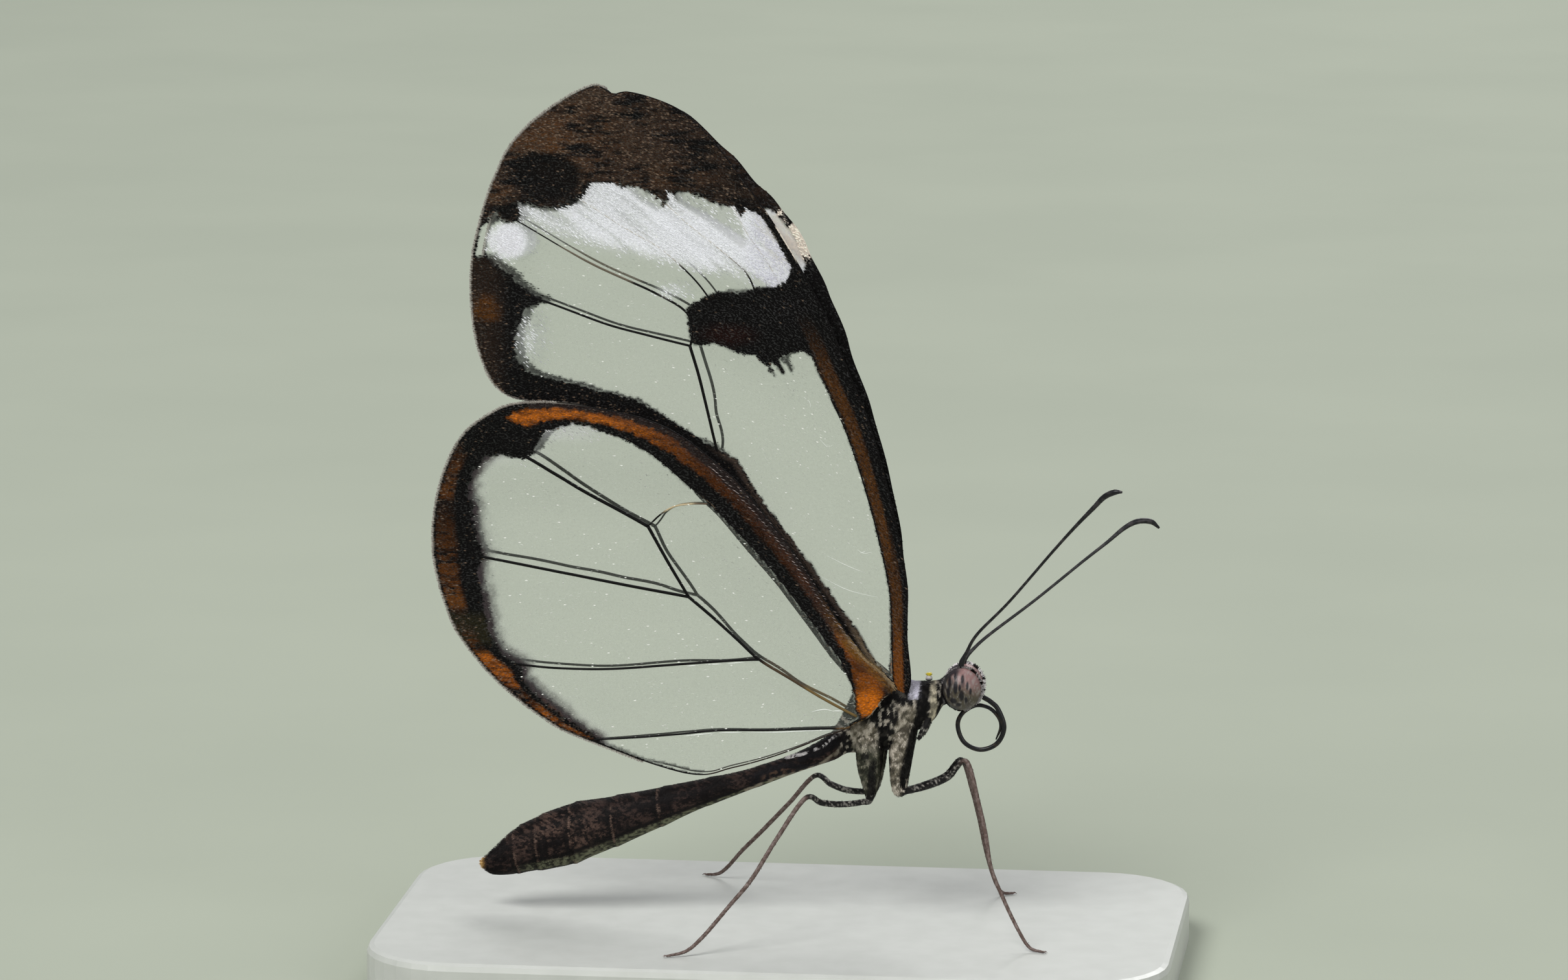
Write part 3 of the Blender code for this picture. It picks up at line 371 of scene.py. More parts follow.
def ripple(points, size, shift=0):
    """Even random values from 0 to 1 that vary over about the size, or the size along x and z."""
    grid = points / size + shift * 7.31
    cell = np.floor(grid).astype(int)
    part = grid - cell
    part = part * part * (3 - 2 * part)

    def at(i, j):
        return NOISE_TABLE[(cell[:, 0] + i) % NOISE_SIDE, (cell[:, 1] + j) % NOISE_SIDE]

    low = at(0, 0) * (1 - part[:, 0]) + at(1, 0) * part[:, 0]
    high = at(0, 1) * (1 - part[:, 0]) + at(1, 1) * part[:, 0]
    return low * (1 - part[:, 1]) + high * part[:, 1]


def rough(points, size, depth):
    """A ripple that runs evenly up and down round 0."""
    return depth * (ripple(points, size) - 0.5)


def unit(vectors):
    return vectors / np.linalg.norm(vectors, axis=-1, keepdims=True)


def level(vectors, out):
    """Directions turned to lie along the surface that faces out."""
    return unit(vectors - out * (vectors * out).sum(1)[:, None])


def spline(points, spacing, closed=False):
    """A Catmull-Rom curve through the points, with a step of about the spacing."""
    knots = np.array(points, float)
    count = len(knots)
    if closed:
        before, after = knots[-1:], knots[:2]
    else:
        before, after = 2 * knots[:1] - knots[1:2], 2 * knots[-1:] - knots[-2:-1]
    padded = np.vstack([before, knots, after])
    curve = []
    for i in range(count if closed else count - 1):
        a, b, c, d = padded[i : i + 4]
        steps = max(1, round(np.linalg.norm((c - b)[:3]) / spacing))
        t = (np.arange(steps) / steps)[:, None]
        curve.append(
            0.5 * (2 * b + (c - a) * t + (2 * a - 5 * b + 4 * c - d) * t**2
                   + (3 * b - a - 3 * c + d) * t**3)
        )
    if not closed:
        curve.append(knots[-1:])
    return np.vstack(curve)


def nearest(points, line, closed=False):
    """The distance from each point to a polyline, and how far along it that place is."""
    line = np.asarray(line, float)
    if closed:
        line = np.vstack([line, line[:1]])
    start, step = line[:-1], np.diff(line, axis=0)
    lengths = np.hypot(*step.T)
    before = np.concatenate([[0.0], np.cumsum(lengths)[:-1]])
    gaps, along = np.empty(len(points)), np.empty(len(points))
    for first in range(0, len(points), BATCH):
        part = slice(first, first + BATCH)
        offset = points[part, None] - start[None]
        share = np.clip((offset * step).sum(2) / lengths**2, 0, 1)
        miss = offset - share[..., None] * step
        gap = np.hypot(miss[..., 0], miss[..., 1])
        pick = gap.argmin(1)
        rows = np.arange(len(pick))
        gaps[part] = gap[rows, pick]
        along[part] = before[pick] + share[rows, pick] * lengths[pick]
    return gaps, along


def gap_to(points, line, closed=False):
    return nearest(points, line, closed)[0]


def inside(points, polygon):
    x, z = points.T
    crossings = np.zeros(len(points), int)
    polygon = np.asarray(polygon, float)
    for a, b in zip(polygon, np.roll(polygon, -1, axis=0)):
        if a[1] != b[1]:
            between = (a[1] > z) != (b[1] > z)
            crossings += between & (x < a[0] + (z - a[1]) / (b[1] - a[1]) * (b[0] - a[0]))
    return crossings % 2 == 1


def depth_in(points, polygon):
    """The distance to the polygon's edge, positive inside it."""
    gap = gap_to(points, polygon, closed=True)
    return np.where(inside(points, polygon), gap, -gap)


def zone(points, polygon, softness, ragged=0.0, size=0.15):
    """1 inside a polygon and 0 outside it, with a soft and ragged edge."""
    return smooth(depth_in(points, polygon) + rough(points, size, ragged), -softness, softness)


def spot(points, centre, radii, softness):
    """1 inside an ellipse and 0 outside it, with a soft edge given as a share of its radius."""
    away = np.hypot(*((points - centre) / radii).T)
    return smooth(away, 1 + softness, 1 - softness)


def spots(points, table):
    """The strongest of several spots at each point. The table holds their shares and places."""
    return np.maximum.reduce([share * spot(points, *place) for share, place in table])


def line_mark(points, line, reach, core):
    """1 near a line and 0 beyond its reach."""
    return smooth(gap_to(points, line), reach, core)


def blend(base, colour, share):
    base = np.asarray(base, float)
    return base + (np.asarray(colour, float) - base) * np.asarray(share, float)[:, None]


def flat(value, count):
    """The same value for every point."""
    return np.tile(np.array(value, float), (count, 1))


def layered(colour, *coats):
    """A colour with coats laid over it in turn, each a colour and its share at each point."""
    for coat, share in coats:
        colour = blend(colour, coat, share)
    return colour


def slanted(points, x_share, y_share):
    """Points for a pattern that runs on round the body, seen from its side."""
    x, y, z = points.T
    return np.stack([x * x_share + y * y_share, z], axis=1)


def mottled(base, other, start, end):
    """A painter that mixes two colours finely."""
    def colour_of(points):
        return layered(base, (other, smooth(ripple(points[:, (0, 2)], 0.1, 6), start, end)))

    return colour_of


# Meshes

def new_object(name, mesh, material):
    piece = bpy.data.objects.new(name, mesh)
    bpy.context.scene.collection.objects.link(piece)
    piece.data.materials.append(material)
    return piece


def build_mesh(name, points, faces, shade_smooth=True):
    """A mesh from points in millimetres and an array of faces with the same number of corners."""
    mesh = bpy.data.meshes.new(name)
    faces = np.asarray(faces, np.int32)
    count, corners = faces.shape
    mesh.vertices.add(len(points))
    mesh.vertices.foreach_set("co", (np.asarray(points, float) * MM).astype(np.float32).ravel())
    mesh.loops.add(count * corners)
    mesh.loops.foreach_set("vertex_index", faces.ravel())
    mesh.polygons.add(count)
    mesh.polygons.foreach_set("loop_start", np.arange(0, count * corners, corners, dtype=np.int32))
    mesh.polygons.foreach_set("use_smooth", np.full(count, shade_smooth))
    mesh.update(calc_edges=True)
    mesh.validate()
    return mesh


def paint(mesh, colours):
    rgba = np.ones((len(mesh.vertices), 4), np.float32)
    rgba[:, :3] = np.clip(colours, 0, 1)
    mesh.attributes.new("tint", "FLOAT_COLOR", "POINT").data.foreach_set("color", rgba.ravel())


def tufts(name, material, roots, along, out, lengths, widths, lifts, colours, uvs, bend=0.42):
    """One mesh of thin scales or hairs, each a closed four-sided vane.

    A vane runs from its root along its own direction and its tip is lifted off the surface.
    """
    count = len(roots)
    lengths, widths, lifts = (np.full(count, value)[:, None] for value in (lengths, widths, lifts))
    across = unit(np.cross(along, out)) * widths / 2
    middle = roots + along * lengths * bend + out * (lifts * 0.55 + VANE_THICKNESS)
    tips = roots + along * lengths + out * lifts
    corners = np.stack([roots - out * ROOT_DEPTH, middle + across, middle - across, tips], axis=1)
    faces = np.array([(0, 1, 2), (1, 3, 2), (0, 3, 1), (0, 2, 3)])
    all_faces = faces[None] + 4 * np.arange(count)[:, None, None]
    mesh = build_mesh(name, corners.reshape(-1, 3), all_faces.reshape(-1, 3), False)
    paint(mesh, np.repeat(colours, 4, axis=0))
    patch = np.array([(-0.5, -0.5), (-0.5, 0.5), (0.5, -0.5), (0.5, 0.5)]) * UV_PATCH
    corner_uvs = (uvs[:, None] + patch[None])[:, faces.ravel()]
    layer = mesh.uv_layers.new(name=UV_MAP)
    layer.data.foreach_set("uv", np.clip(corner_uvs, 0, 1).astype(np.float32).ravel())
    return new_object(name, mesh, material)


def on_side(points, side):
    return [(x, side * y, z) for x, y, z in points]


def tube_rings(points, radii, spacing):
    """Rings along a curve: their centres and two half axes each."""
    knots = np.hstack([np.array(points, float), np.array(radii, float)[:, None]])
    curve = spline(knots, spacing)
    centres, sizes = curve[:, :3], np.maximum(curve[:, 3], THINNEST)
    ahead = unit(np.gradient(centres, axis=0))
    side = np.cross(ahead[0], (0.31, 0.9, 0.27))
    first, second = [], []
    for direction, size in zip(ahead, sizes):
        side = side - direction * side.dot(direction)
        side /= np.linalg.norm(side)
        first.append(side * size)
        second.append(np.cross(direction, side) * size)
    return centres, np.array(first), np.array(second)


def upright_rings(rings, spacing):
    """Rings that stand across the x axis, from (x, z, half height, half width)."""
    x, z, tall, wide = spline(rings, spacing).T
    zero = np.zeros(len(x))
    tall, wide = np.maximum(tall, THINNEST_TRUNK), np.maximum(wide, THINNEST_TRUNK)
    parts = ((x, zero, z), (zero, wide, zero), (zero, zero, tall))
    return tuple(np.stack(part, axis=1) for part in parts)


def skin_points(rings, sides):
    centres, first, second = (part[:, None] for part in rings)
    turn = (2 * np.pi * np.arange(sides) / sides)[None, :, None]
    return (centres + first * np.cos(turn) + second * np.sin(turn)).reshape(-1, 3)


def skin_faces(count, sides, start):
    """Triangles of a closed tube of rings, whose last two points are its ends."""
    i, k = np.meshgrid(np.arange(count - 1), np.arange(sides), indexing="ij")
    a, b = i * sides + k, i * sides + (k + 1) % sides
    quads = np.stack([a, b, b + sides, a, b + sides, a + sides], axis=-1).reshape(-1, 3)
    k = np.arange(sides)
    after = (k + 1) % sides
    first, last = np.full(sides, count * sides), (count - 1) * sides
    caps = [np.stack([first, after, k], axis=1), np.stack([first + 1, last + k, last + after], axis=1)]
    return np.vstack([quads, *caps]) + start


def skin(name, tubes, sides, colour_of, material):
    """One mesh of closed tubes, painted by a function of its points."""
    points, faces, start = [], [], 0
    for rings in tubes:
        points.append(np.vstack([skin_points(rings, sides), rings[0][:1], rings[0][-1:]]))
        faces.append(skin_faces(len(rings[0]), sides, start))
        start += len(points[-1])
    points = np.vstack(points)
    mesh = build_mesh(name, points, np.vstack(faces))
    paint(mesh, colour_of(points))
    return new_object(name, mesh, material)


def on_rings(rings, places, turns):
    """Points on a tube at ring numbers and turns, with what faces out and what runs along."""
    centres = rings[0]
    places = np.clip(places, 0, len(centres) - 1.001)
    low = places.astype(int)
    part = (places - low)[:, None]
    c, a, b = (values[low] * (1 - part) + values[low + 1] * part for values in rings)
    cosine, sine = np.cos(turns)[:, None], np.sin(turns)[:, None]
    points = c + a * cosine + b * sine
    out = unit(a * cosine / (a**2).sum(1)[:, None] + b * sine / (b**2).sum(1)[:, None])
    return points, out, level(unit(centres[low + 1] - centres[low]), out)


def scatter(rings, count, rng, start=0.0, end=1.0):
    """Random places on a tube, even over its surface."""
    centres, first, second = rings
    number = len(centres) - 1
    size = np.linalg.norm(first, axis=1) + np.linalg.norm(second, axis=1)
    step = np.linalg.norm(np.diff(centres, axis=0), axis=1)
    weight = (size[1:] + size[:-1]) * step
    middle = (np.arange(number) + 0.5) / number
    weight = np.where((middle >= start) & (middle <= end), weight, 0)
    cell = rng.choice(number, count, p=weight / weight.sum())
    return cell + rng.random(count), rng.random(count) * 2 * np.pi


def tube_uvs(rings, places, turns):
    return UV_EDGE + UV_SPAN * np.stack([places / (len(rings[0]) - 1), turns / (2 * np.pi)], axis=1)


def sheet_uvs(points, low, high):
    return UV_EDGE + UV_SPAN * (points - low) / (high - low)


def turned(along, out, angle):
    """Directions turned within the surface."""
    across = np.cross(out, along)
    return along * np.cos(angle)[:, None] + across * np.sin(angle)[:, None]


def finish_piece(piece, slot, *nodes):
    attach(piece, "root")
    if nodes:
        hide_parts(*nodes)


def add_coat(name, slot, material, rings, count, rng, spread, dice_count, shape_of):
    """Hairs along a tube. Their shape and colour come from their points, ring numbers and dice."""
    places, turns = scatter(rings, count, rng)
    points, out, along = on_rings(rings, places, turns)
    way = turned(along, out, (rng.random(count) - 0.5) * spread)
    shape = shape_of(points, places, rng.random((count, dice_count)))
    uvs = tube_uvs(rings, places, turns)
    finish_piece(tufts(name, material, points, way, out, *shape, uvs), slot)


# Materials

def new_material(name):
    material = bpy.data.materials.new(name)
    material.use_nodes = True
    nodes, links = material.node_tree.nodes, material.node_tree.links
    return material, nodes, links, nodes["Principled BSDF"]


def add_noise(nodes, links, scale):
    noise = nodes.new("ShaderNodeTexNoise")
    noise.inputs["Scale"].default_value = scale
    noise.inputs["Detail"].default_value = NOISE_DETAIL
    place = nodes.new("ShaderNodeTexCoord")
    links.new(place.outputs["Object"], noise.inputs["Vector"])
    return noise.outputs["Fac"]


def add_attribute(nodes, name):
    node = nodes.new("ShaderNodeAttribute")
    node.attribute_name = name
    return node


def add_range(nodes, links, value, low, high, start=0.0, end=1.0):
    """The value from start to end, made to run from low to high."""
    node = nodes.new("ShaderNodeMapRange")
    limits = {"From Min": start, "From Max": end, "To Min": low, "To Max": high}
    for name, limit in limits.items():
        node.inputs[name].default_value = limit
    links.new(value, node.inputs["Value"])
    return node.outputs["Result"]


def add_bump(nodes, links, shader, height, strength, distance=0.02):
    bump = nodes.new("ShaderNodeBump")
    bump.inputs["Strength"].default_value = strength
    bump.inputs["Distance"].default_value = distance * MM
    links.new(height, bump.inputs["Height"])
    links.new(bump.outputs["Normal"], shader.inputs["Normal"])


def tinted_material(name, roughness, specular, noise_scale, low, high, bump=0.0):
    """Takes its colour from the mesh's tint, varied by fine noise."""
    material, nodes, links, shader = new_material(name)
    tint = add_attribute(nodes, "tint")
    noise = add_noise(nodes, links, noise_scale)
    value = add_range(nodes, links, noise, low, high)
    mix = nodes.new("ShaderNodeVectorMath")
    mix.operation = "SCALE"
    links.new(tint.outputs["Color"], mix.inputs["Vector"])
    links.new(value, mix.inputs["Scale"])
    links.new(mix.outputs["Vector"], shader.inputs["Base Color"])
    shader.inputs["Roughness"].default_value = roughness
    shader.inputs["Specular IOR Level"].default_value = specular
    if bump:
        add_bump(nodes, links, shader, noise, bump)
    return material


def membrane_material():
    """Clear where the wing has no scales, and covered where it has."""
    material, nodes, links, shader = new_material("wing_membrane_look")
    links.new(add_attribute(nodes, "tint").outputs["Color"], shader.inputs["Base Color"])
    cover = add_attribute(nodes, "cover").outputs["Fac"]
    fine = add_noise(nodes, links, 9000.0)
    speckle = add_range(nodes, links, fine, 0.7, 1.3, 0.3, 0.7)
    alpha = nodes.new("ShaderNodeMath")
    alpha.operation = "MULTIPLY"
    alpha.use_clamp = True
    links.new(cover, alpha.inputs[0])
    links.new(speckle, alpha.inputs[1])
    links.new(alpha.outputs["Value"], shader.inputs["Alpha"])
    links.new(add_range(nodes, links, cover, 0.3, 0.6), shader.inputs["Roughness"])
    add_bump(nodes, links, shader, fine, 0.25, 0.01)
    return material


def plain_material(name, colour, other, scale, roughness, bump):
    material, nodes, links, shader = new_material(name)
    noise = add_noise(nodes, links, scale)
    ramp = nodes.new("ShaderNodeValToRGB")
    for stop, place, shade in zip(ramp.color_ramp.elements, (0.35, 0.65), (colour, other)):
        stop.position = place
        stop.color = (*shade, 1)
    links.new(noise, ramp.inputs["Fac"])
    links.new(ramp.outputs["Color"], shader.inputs["Base Color"])
    shader.inputs["Roughness"].default_value = roughness
    if bump:
        add_bump(nodes, links, shader, noise, bump)
    return material


# Wings

def from_hinge(p):
    return np.hypot(*(p - WING_HINGE).T)


def forewing_height(p):
    return 0.5 + 0.35 * smooth(from_hinge(p), 6.0, 1.0)


def hindwing_height(p):
    over = gap_to(p, HINDWING_LEADING)
    beside = gap_to(p, HINDWING_ANAL)
    side = np.maximum(0.7 * smooth(over, 5.0, 2.0), 0.35 * smooth(beside, 4.0, 0.6))
    return 0.65 + side + 0.3 * smooth(from_hinge(p), 5.0, 1.5)


def front_edge():
    return spline(FOREWING[:FOREWING_COSTA_POINTS], 0.5)


def drawn_lines(p, fine, coarse, fine_share, coarse_share):
    """Fine streaks along the wing, made of two sizes of ripple."""
    return fine_share * ripple(p, fine, 8) + coarse_share * ripple(p, coarse, 9)


def forewing_dark(p, from_costa, from_rim, width, in_margin):
    """The dark parts: all of them, and the apex, bar, hind margin and front edge alone."""
    x, z = p.T
    front = smooth(width - from_costa + rough(p, 0.1, 0.05), -0.04, 0.04)
    apex = np.maximum.reduce([
        zone(p, APEX, 0.1, 0.3), spot(p, (-10.0, 33.75), (1.55, 1.1), 0.25),
        spot(p, (-11.7, 32.35), (0.42, 0.4), 0.35),
    ])
    bar = zone(p, BAR, 0.06, 0.16)
    half = np.where(z > 25.6, 0.16, 0.07) * 0.75
    hind = smooth(in_margin + rough(p, 0.15, 0.12), -1, 1)
    hind = smooth(hind, 0.5 - half, 0.5 + half)
    rim_width = np.where((x < -12.0) & (np.abs(z - 31.1) < 0.75), 0.09, 0.17)
    line = smooth(from_rim, rim_width, rim_width - 0.06)
    return np.maximum.reduce([front, apex, bar, hind, line]), apex, bar, hind, front


def forewing_white(p, dark):
    """The streaked white band and the pale spots, and the pale corner alone."""
    x = p[:, 0]
    white = zone(p, WHITE_BAND, 0.58)
    white *= 1 - 0.92 * zone(p, WINDOW_FRONT, 0.1) - 0.75 * zone(p, WINDOW_BACK, 0.12)
    cosine, sine = math.cos(STREAK_LEAN), math.sin(STREAK_LEAN)
    streaks = p @ np.array([[cosine, -sine], [sine, cosine]])
    streak = ripple(streaks, (2.6, 0.26), 1) + 0.6 * ripple(streaks, (1.4, 0.1), 2)
    white *= 0.38 + 0.62 * smooth(streak, 0.42, 0.95)
    white *= np.interp(x, (-11.5, -8.5, -5.5, 0.0), (0.55, 0.6, 0.97, 1.0))
    corner = spot(p, (-11.72, 31.12), (0.75, 0.68), 0.5)
    corner *= 1 - 0.45 * smooth(np.abs(x + 12.22), 0.12, 0.0)
    below = 0.35 * spot(p, (-4.75, 29.1), (0.6, 0.35), 0.8) * smooth(streak, 0.6, 1.1)
    beside = 0.22 * spot(p, (-10.95, 27.0), (0.5, 1.0), 0.8)
    return np.maximum.reduce([white, 0.98 * corner, beside, below]) * (1 - dark), corner


def forewing_look(p):
    """How the forewing looks at each point: dark and white cover, haze, colour and painted sheen."""
    x, z = p.T
    from_costa = gap_to(p, front_edge())
    from_rim = gap_to(p, spline(FOREWING, 0.5, closed=True), closed=True)
    width = np.interp(z, COSTA_AT, COSTA_WIDTH)
    in_margin = depth_in(p, MARGIN)
    dark, apex, bar, hind, front = forewing_dark(p, from_costa, from_rim, width, in_margin)
    white, corner = forewing_white(p, dark)

    lines = drawn_lines(p, (0.4, 0.08), (0.9, 0.35), 0.5, 0.5)
    browner = smooth(lines, 0.2, 0.7) * np.interp(x, (-10.0, -6.5, -3.5, -1.0), (1.0, 0.85, 0.55, 0.3))
    rusty = spots(p, (
        (1.0, ((-9.7, 35.5), (2.3, 1.3), 0.7)), (0.8, ((-12.2, 33.3), (0.6, 1.2), 0.6)),
        (0.4, ((-4.6, 34.0), (1.6, 0.5), 0.7)),
    ))
    soft = spots(p, (
        (1.0, ((-10.0, 33.85), (1.5, 1.1), 0.2)), (1.0, ((-11.68, 32.35), (0.4, 0.35), 0.3)),
    ))
    share = from_costa / width
    low_stripe = smooth(share, 0.2, 0.38) * smooth(share, 0.95, 0.85) * smooth(z, 20.0, 15.5)
    high_stripe = smooth(share, 0.36, 0.52) * smooth(share, 0.96, 0.84) * smooth(z, 15.5, 18.5)
    high_stripe *= smooth(z, 28.5, 24.5)
    stripe = np.maximum(low_stripe, high_stripe) * front
    strength = np.interp(z, (15, 18, 24), (0.62, 0.68, 0.6)) * (0.3 + 1.2 * ripple(p, 0.05, 12))
    trailing = hind * smooth(x, -3.4, -2.2) * smooth(in_margin, 0.32, 0.05)
    edge = spot(p, (-12.75, 28.1), (0.65, 0.7), 0.5) * smooth(z, 27.55, 27.75)
    colour = layered(
        BLACK,
        (np.array(BROWN) * 1.5, apex * browner),
        (RUST, apex * 0.55 * rusty * smooth(lines, 0.3, 0.9)),
        (BLACK, soft * 0.95),
        (RUST, np.clip(stripe * strength, 0, 1.6)),
        (ORANGE, 0.28 * stripe * smooth(z, 15.5, 12.6)),
        ((0.065, 0.045, 0.035), 0.75 * trailing),
        ((0.2, 0.15, 0.09), 0.7 * trailing * smooth(z, 15.4, 13.8)),
        (RUST, 0.8 * edge * hind * (0.3 + 0.7 * smooth(lines, 0.3, 0.8))),
        (BROWN, 0.5 * hind * smooth(x, -11.5, -12.6) * (1 - edge)),
        ((0.02, 0.005, 0.0035), 0.5 * spot(p, (-2.3, 27.3), (1.0, 0.4), 0.7) * bar),
    )

    # Shares of dark scales painted pale brown as sheen, in streaks on the apex and near the hind rim.
    sheen_share = np.interp(x, (-12, -8, -4, -1), (0.42, 0.4, 0.25, 0.14))
    pale = np.maximum.reduce([
        0.03 * (1 - 0.7 * bar), apex * sheen_share * smooth(lines, 0.1, 0.7) * (1 - 0.95 * soft),
        0.2 * hind * smooth(from_rim, 0.6, 0.1),
    ])
    light = layered(
        WHITE,
        (LAVENDER, 0.75 * smooth(x, -1.9, -0.9) * (0.5 + 0.5 * ripple(p, 0.3))),
        ((0.80, 0.77, 0.82), 0.6 * corner),
    )
    patch = spot(p, (-0.3, 31.5), (1.1, 1.3), 0.25) * smooth(from_costa, 0.95, 0.8)
    patch *= smooth(ripple(p, (0.2, 0.3), 6) + 0.6 * smooth(z, 32.4, 31.2), 0.3, 0.7)
    return {
        "dark": dark, "shade": np.zeros(len(p)), "white": white,
        "haze": 0.12 + 0.35 * smooth(depth_in(p, WHITE_BAND), -0.9, 0.1) * (1 - dark),
        "colour": np.where((dark > 0.5)[:, None], colour, BLACK), "light": light, "pale": pale,
        "patch": patch,
    }


def hindwing_look(p):
    """How the hindwing looks at each point, said in the same way."""
    x, z = p.T
    from_front = gap_to(p, spline(HINDWING_LEADING, 0.5))
    from_rim = gap_to(p, spline(HINDWING, 0.5, closed=True), closed=True)
    from_anal = gap_to(p, HINDWING_ANAL)
    band = zone(p, HINDWING_BAND, 0.07, 0.1)
    in_margin = depth_in(p, HINDWING_MARGIN) - 0.13 * smooth(z, 12.0, 14.0)
    margin = smooth(in_margin + rough(p, 0.15, 0.16), -0.1, 0.12)
    rim_width = np.where((z < 10.5) & (x > -8.3), 0.05, 0.12)
    line = smooth(from_rim, rim_width, rim_width - 0.04) * (from_anal > 0.3)
    dark = np.maximum.reduce([band, margin, line])

    stripe = zone(p, HINDWING_STRIPE, 0.09, 0.16)
    vivid = np.interp(x, (-11.7, -7.0, -5.65, -4.3, -2.7, -1.6, 2.2, 2.7),
                      (0.85, 0.62, 0.42, 0.2, 0.12, 0.06, 0.055, 0.1))
    worn = ripple(p, (0.5, 0.12), 3) * 0.6 + ripple(p, (1.3, 0.5), 4) * 0.4
    mottle = (0.45 + 0.55 * smooth(worn, 0.15, 0.6)) * (0.55 + 0.9 * ripple(p, 0.05, 12))
    wear = smooth(worn, 0.2, 0.7)
    root = zone(p, HINDWING_ROOT, 0.08, 0.12)
    golden = band * smooth(from_front, 0.5, 0.3) * smooth(x, 1.4, 2.8)
    rim_gold = band * smooth(from_front, 0.17, 0.08) * smooth(x, 2.4, 3.4)
    across = from_rim / np.maximum(from_rim + np.maximum(in_margin, 0), 1e-3)
    rust = np.interp(z, RUST_AT, RUST_SHARE) * smooth(x, -6.5, -7.5)
    rust = rust * margin * smooth(from_rim, 0.03, 0.12)
    rust = rust * np.where(z < 13.5, smooth(across, 0.72, 0.5), smooth(across, 0.62, 0.4))
    rust = rust * smooth(drawn_lines(p, (0.35, 0.07), (0.8, 0.4), 0.55, 0.45), 0.15, 0.65)
    unrusted = 1 - np.clip(rust * 3, 0, 1)
    colour = layered(
        BLACK,
        ((0.018, 0.012, 0.011), smooth(from_front, 0.55, 0.4)),
        (ORANGE, np.clip(stripe * vivid * mottle, 0, 1)),
        (ORANGE, root * (0.12 + 0.26 * wear)),
        (BRIGHT_ORANGE, 0.5 * root * spot(p, (3.85, 11.75), (0.65, 0.6), 0.6)),
        ((0.14, 0.065, 0.013), golden * (0.3 + 0.6 * wear)),
        ((0.26, 0.19, 0.11), 0.7 * rim_gold),
        (ORANGE, rust * np.where(z < 13.3, 0.62, 0.25)),
        (RUST, np.clip(rust * np.where(z < 13.3, 0.0, 0.9), 0, 1)),
        ((0.02, 0.017, 0.008), 0.8 * margin * unrusted * smooth(np.abs(z - 14.4), 0.9, 0.4)),
    )

    near_band = smooth(depth_in(p, HINDWING_BAND), -0.8, -0.1) * smooth(x, -7.5, -9)
    under = np.clip(0.75 * spot(p, (-8.9, 23.2), (1.5, 0.5), 0.6) + 0.35 * near_band, 0, 1)
    haze = 0.12 + 0.2 * smooth(in_margin, -1.1, -0.1) + 0.6 * under + 0.1 * smooth(from_anal, 0.7, 0.1)
    return {
        "dark": dark, "shade": 0.6 * smooth(in_margin + rough(p, 0.3, 0.3), -0.6, 0.1) * (1 - dark),
        "white": 0.08 * under * (1 - dark), "haze": haze * (1 - dark),
        "colour": np.where((dark > 0.5)[:, None], colour, BLACK), "light": flat((0.7, 0.68, 0.7), len(p)),
        # pale is the share of dark scales painted pale brown as sheen, near the margin's rim.
        "pale": 0.02 + 0.14 * margin * smooth(from_rim, 0.9, 0.2), "patch": np.zeros(len(p)),
    }


WINGS = {
    "forewing": (FOREWING, FOREWING_VEINS, FOREWING_VEIN_RADII, forewing_height, forewing_look),
    "hindwing": (HINDWING, HINDWING_VEINS, HINDWING_VEIN_RADII, hindwing_height, hindwing_look),
}


def left_shift(kind, p):
    """How far a left wing's points lie from the right one's, from the nearest places in the table."""
    places, shifts = (np.array(values) for values in zip(*LEFT_SHIFTS[kind]))
    away = ((p[:, None] - places) ** 2).sum(2)
    weight = 1 / (away + 0.3) ** 1.5
    return (weight[..., None] * shifts).sum(1) / weight.sum(1)[:, None]


def place(kind, p, away, side):
    """Points in space from points in a wing's plane and their distance from the middle plane."""
    if side == LEFT:
        p = p + left_shift(kind, p)
    return np.stack([p[:, 0], side * away, p[:, 1]], axis=1)


def pleat(p, veins):
    """A faint swell of the membrane between its veins."""
    gap = np.min([gap_to(p, vein) for vein in veins], axis=0)
    return 0.1 * smooth(gap, 0.0, 1.6) + 0.03 * ripple(p, 1.7) + 0.012 * ripple(p, 0.5)


def sheet_away(kind, p):
    """How far the middle of a wing's sheet lies from the middle plane."""
    _, veins, _, height, _ = WINGS[kind]
    return height(p) - WING_INSET + pleat(p, veins)


def wing_plan(outline_points):
    """Points and triangles that fill the outline, and how many of them lie on it."""
    outline = spline(outline_points, GRID, closed=True)
    low, high = outline.min(0), outline.max(0)
    rows = np.arange(low[1], high[1], GRID * 0.866)
    grid = np.array([
        (x, z) for j, z in enumerate(rows)
        for x in np.arange(low[0] + (j % 2) * GRID / 2, high[0], GRID)
    ])
    grid = grid[inside(grid, outline)]
    grid = grid[gap_to(grid, outline, closed=True) > GRID * 0.55]
    points = [Vector(point) for point in np.vstack([outline, grid])]
    plan = geometry.delaunay_2d_cdt(points, [], [list(range(len(outline)))], 1, 1e-5)
    return np.array([tuple(v) for v in plan[0]]), np.array([tuple(f) for f in plan[2]]), len(outline)


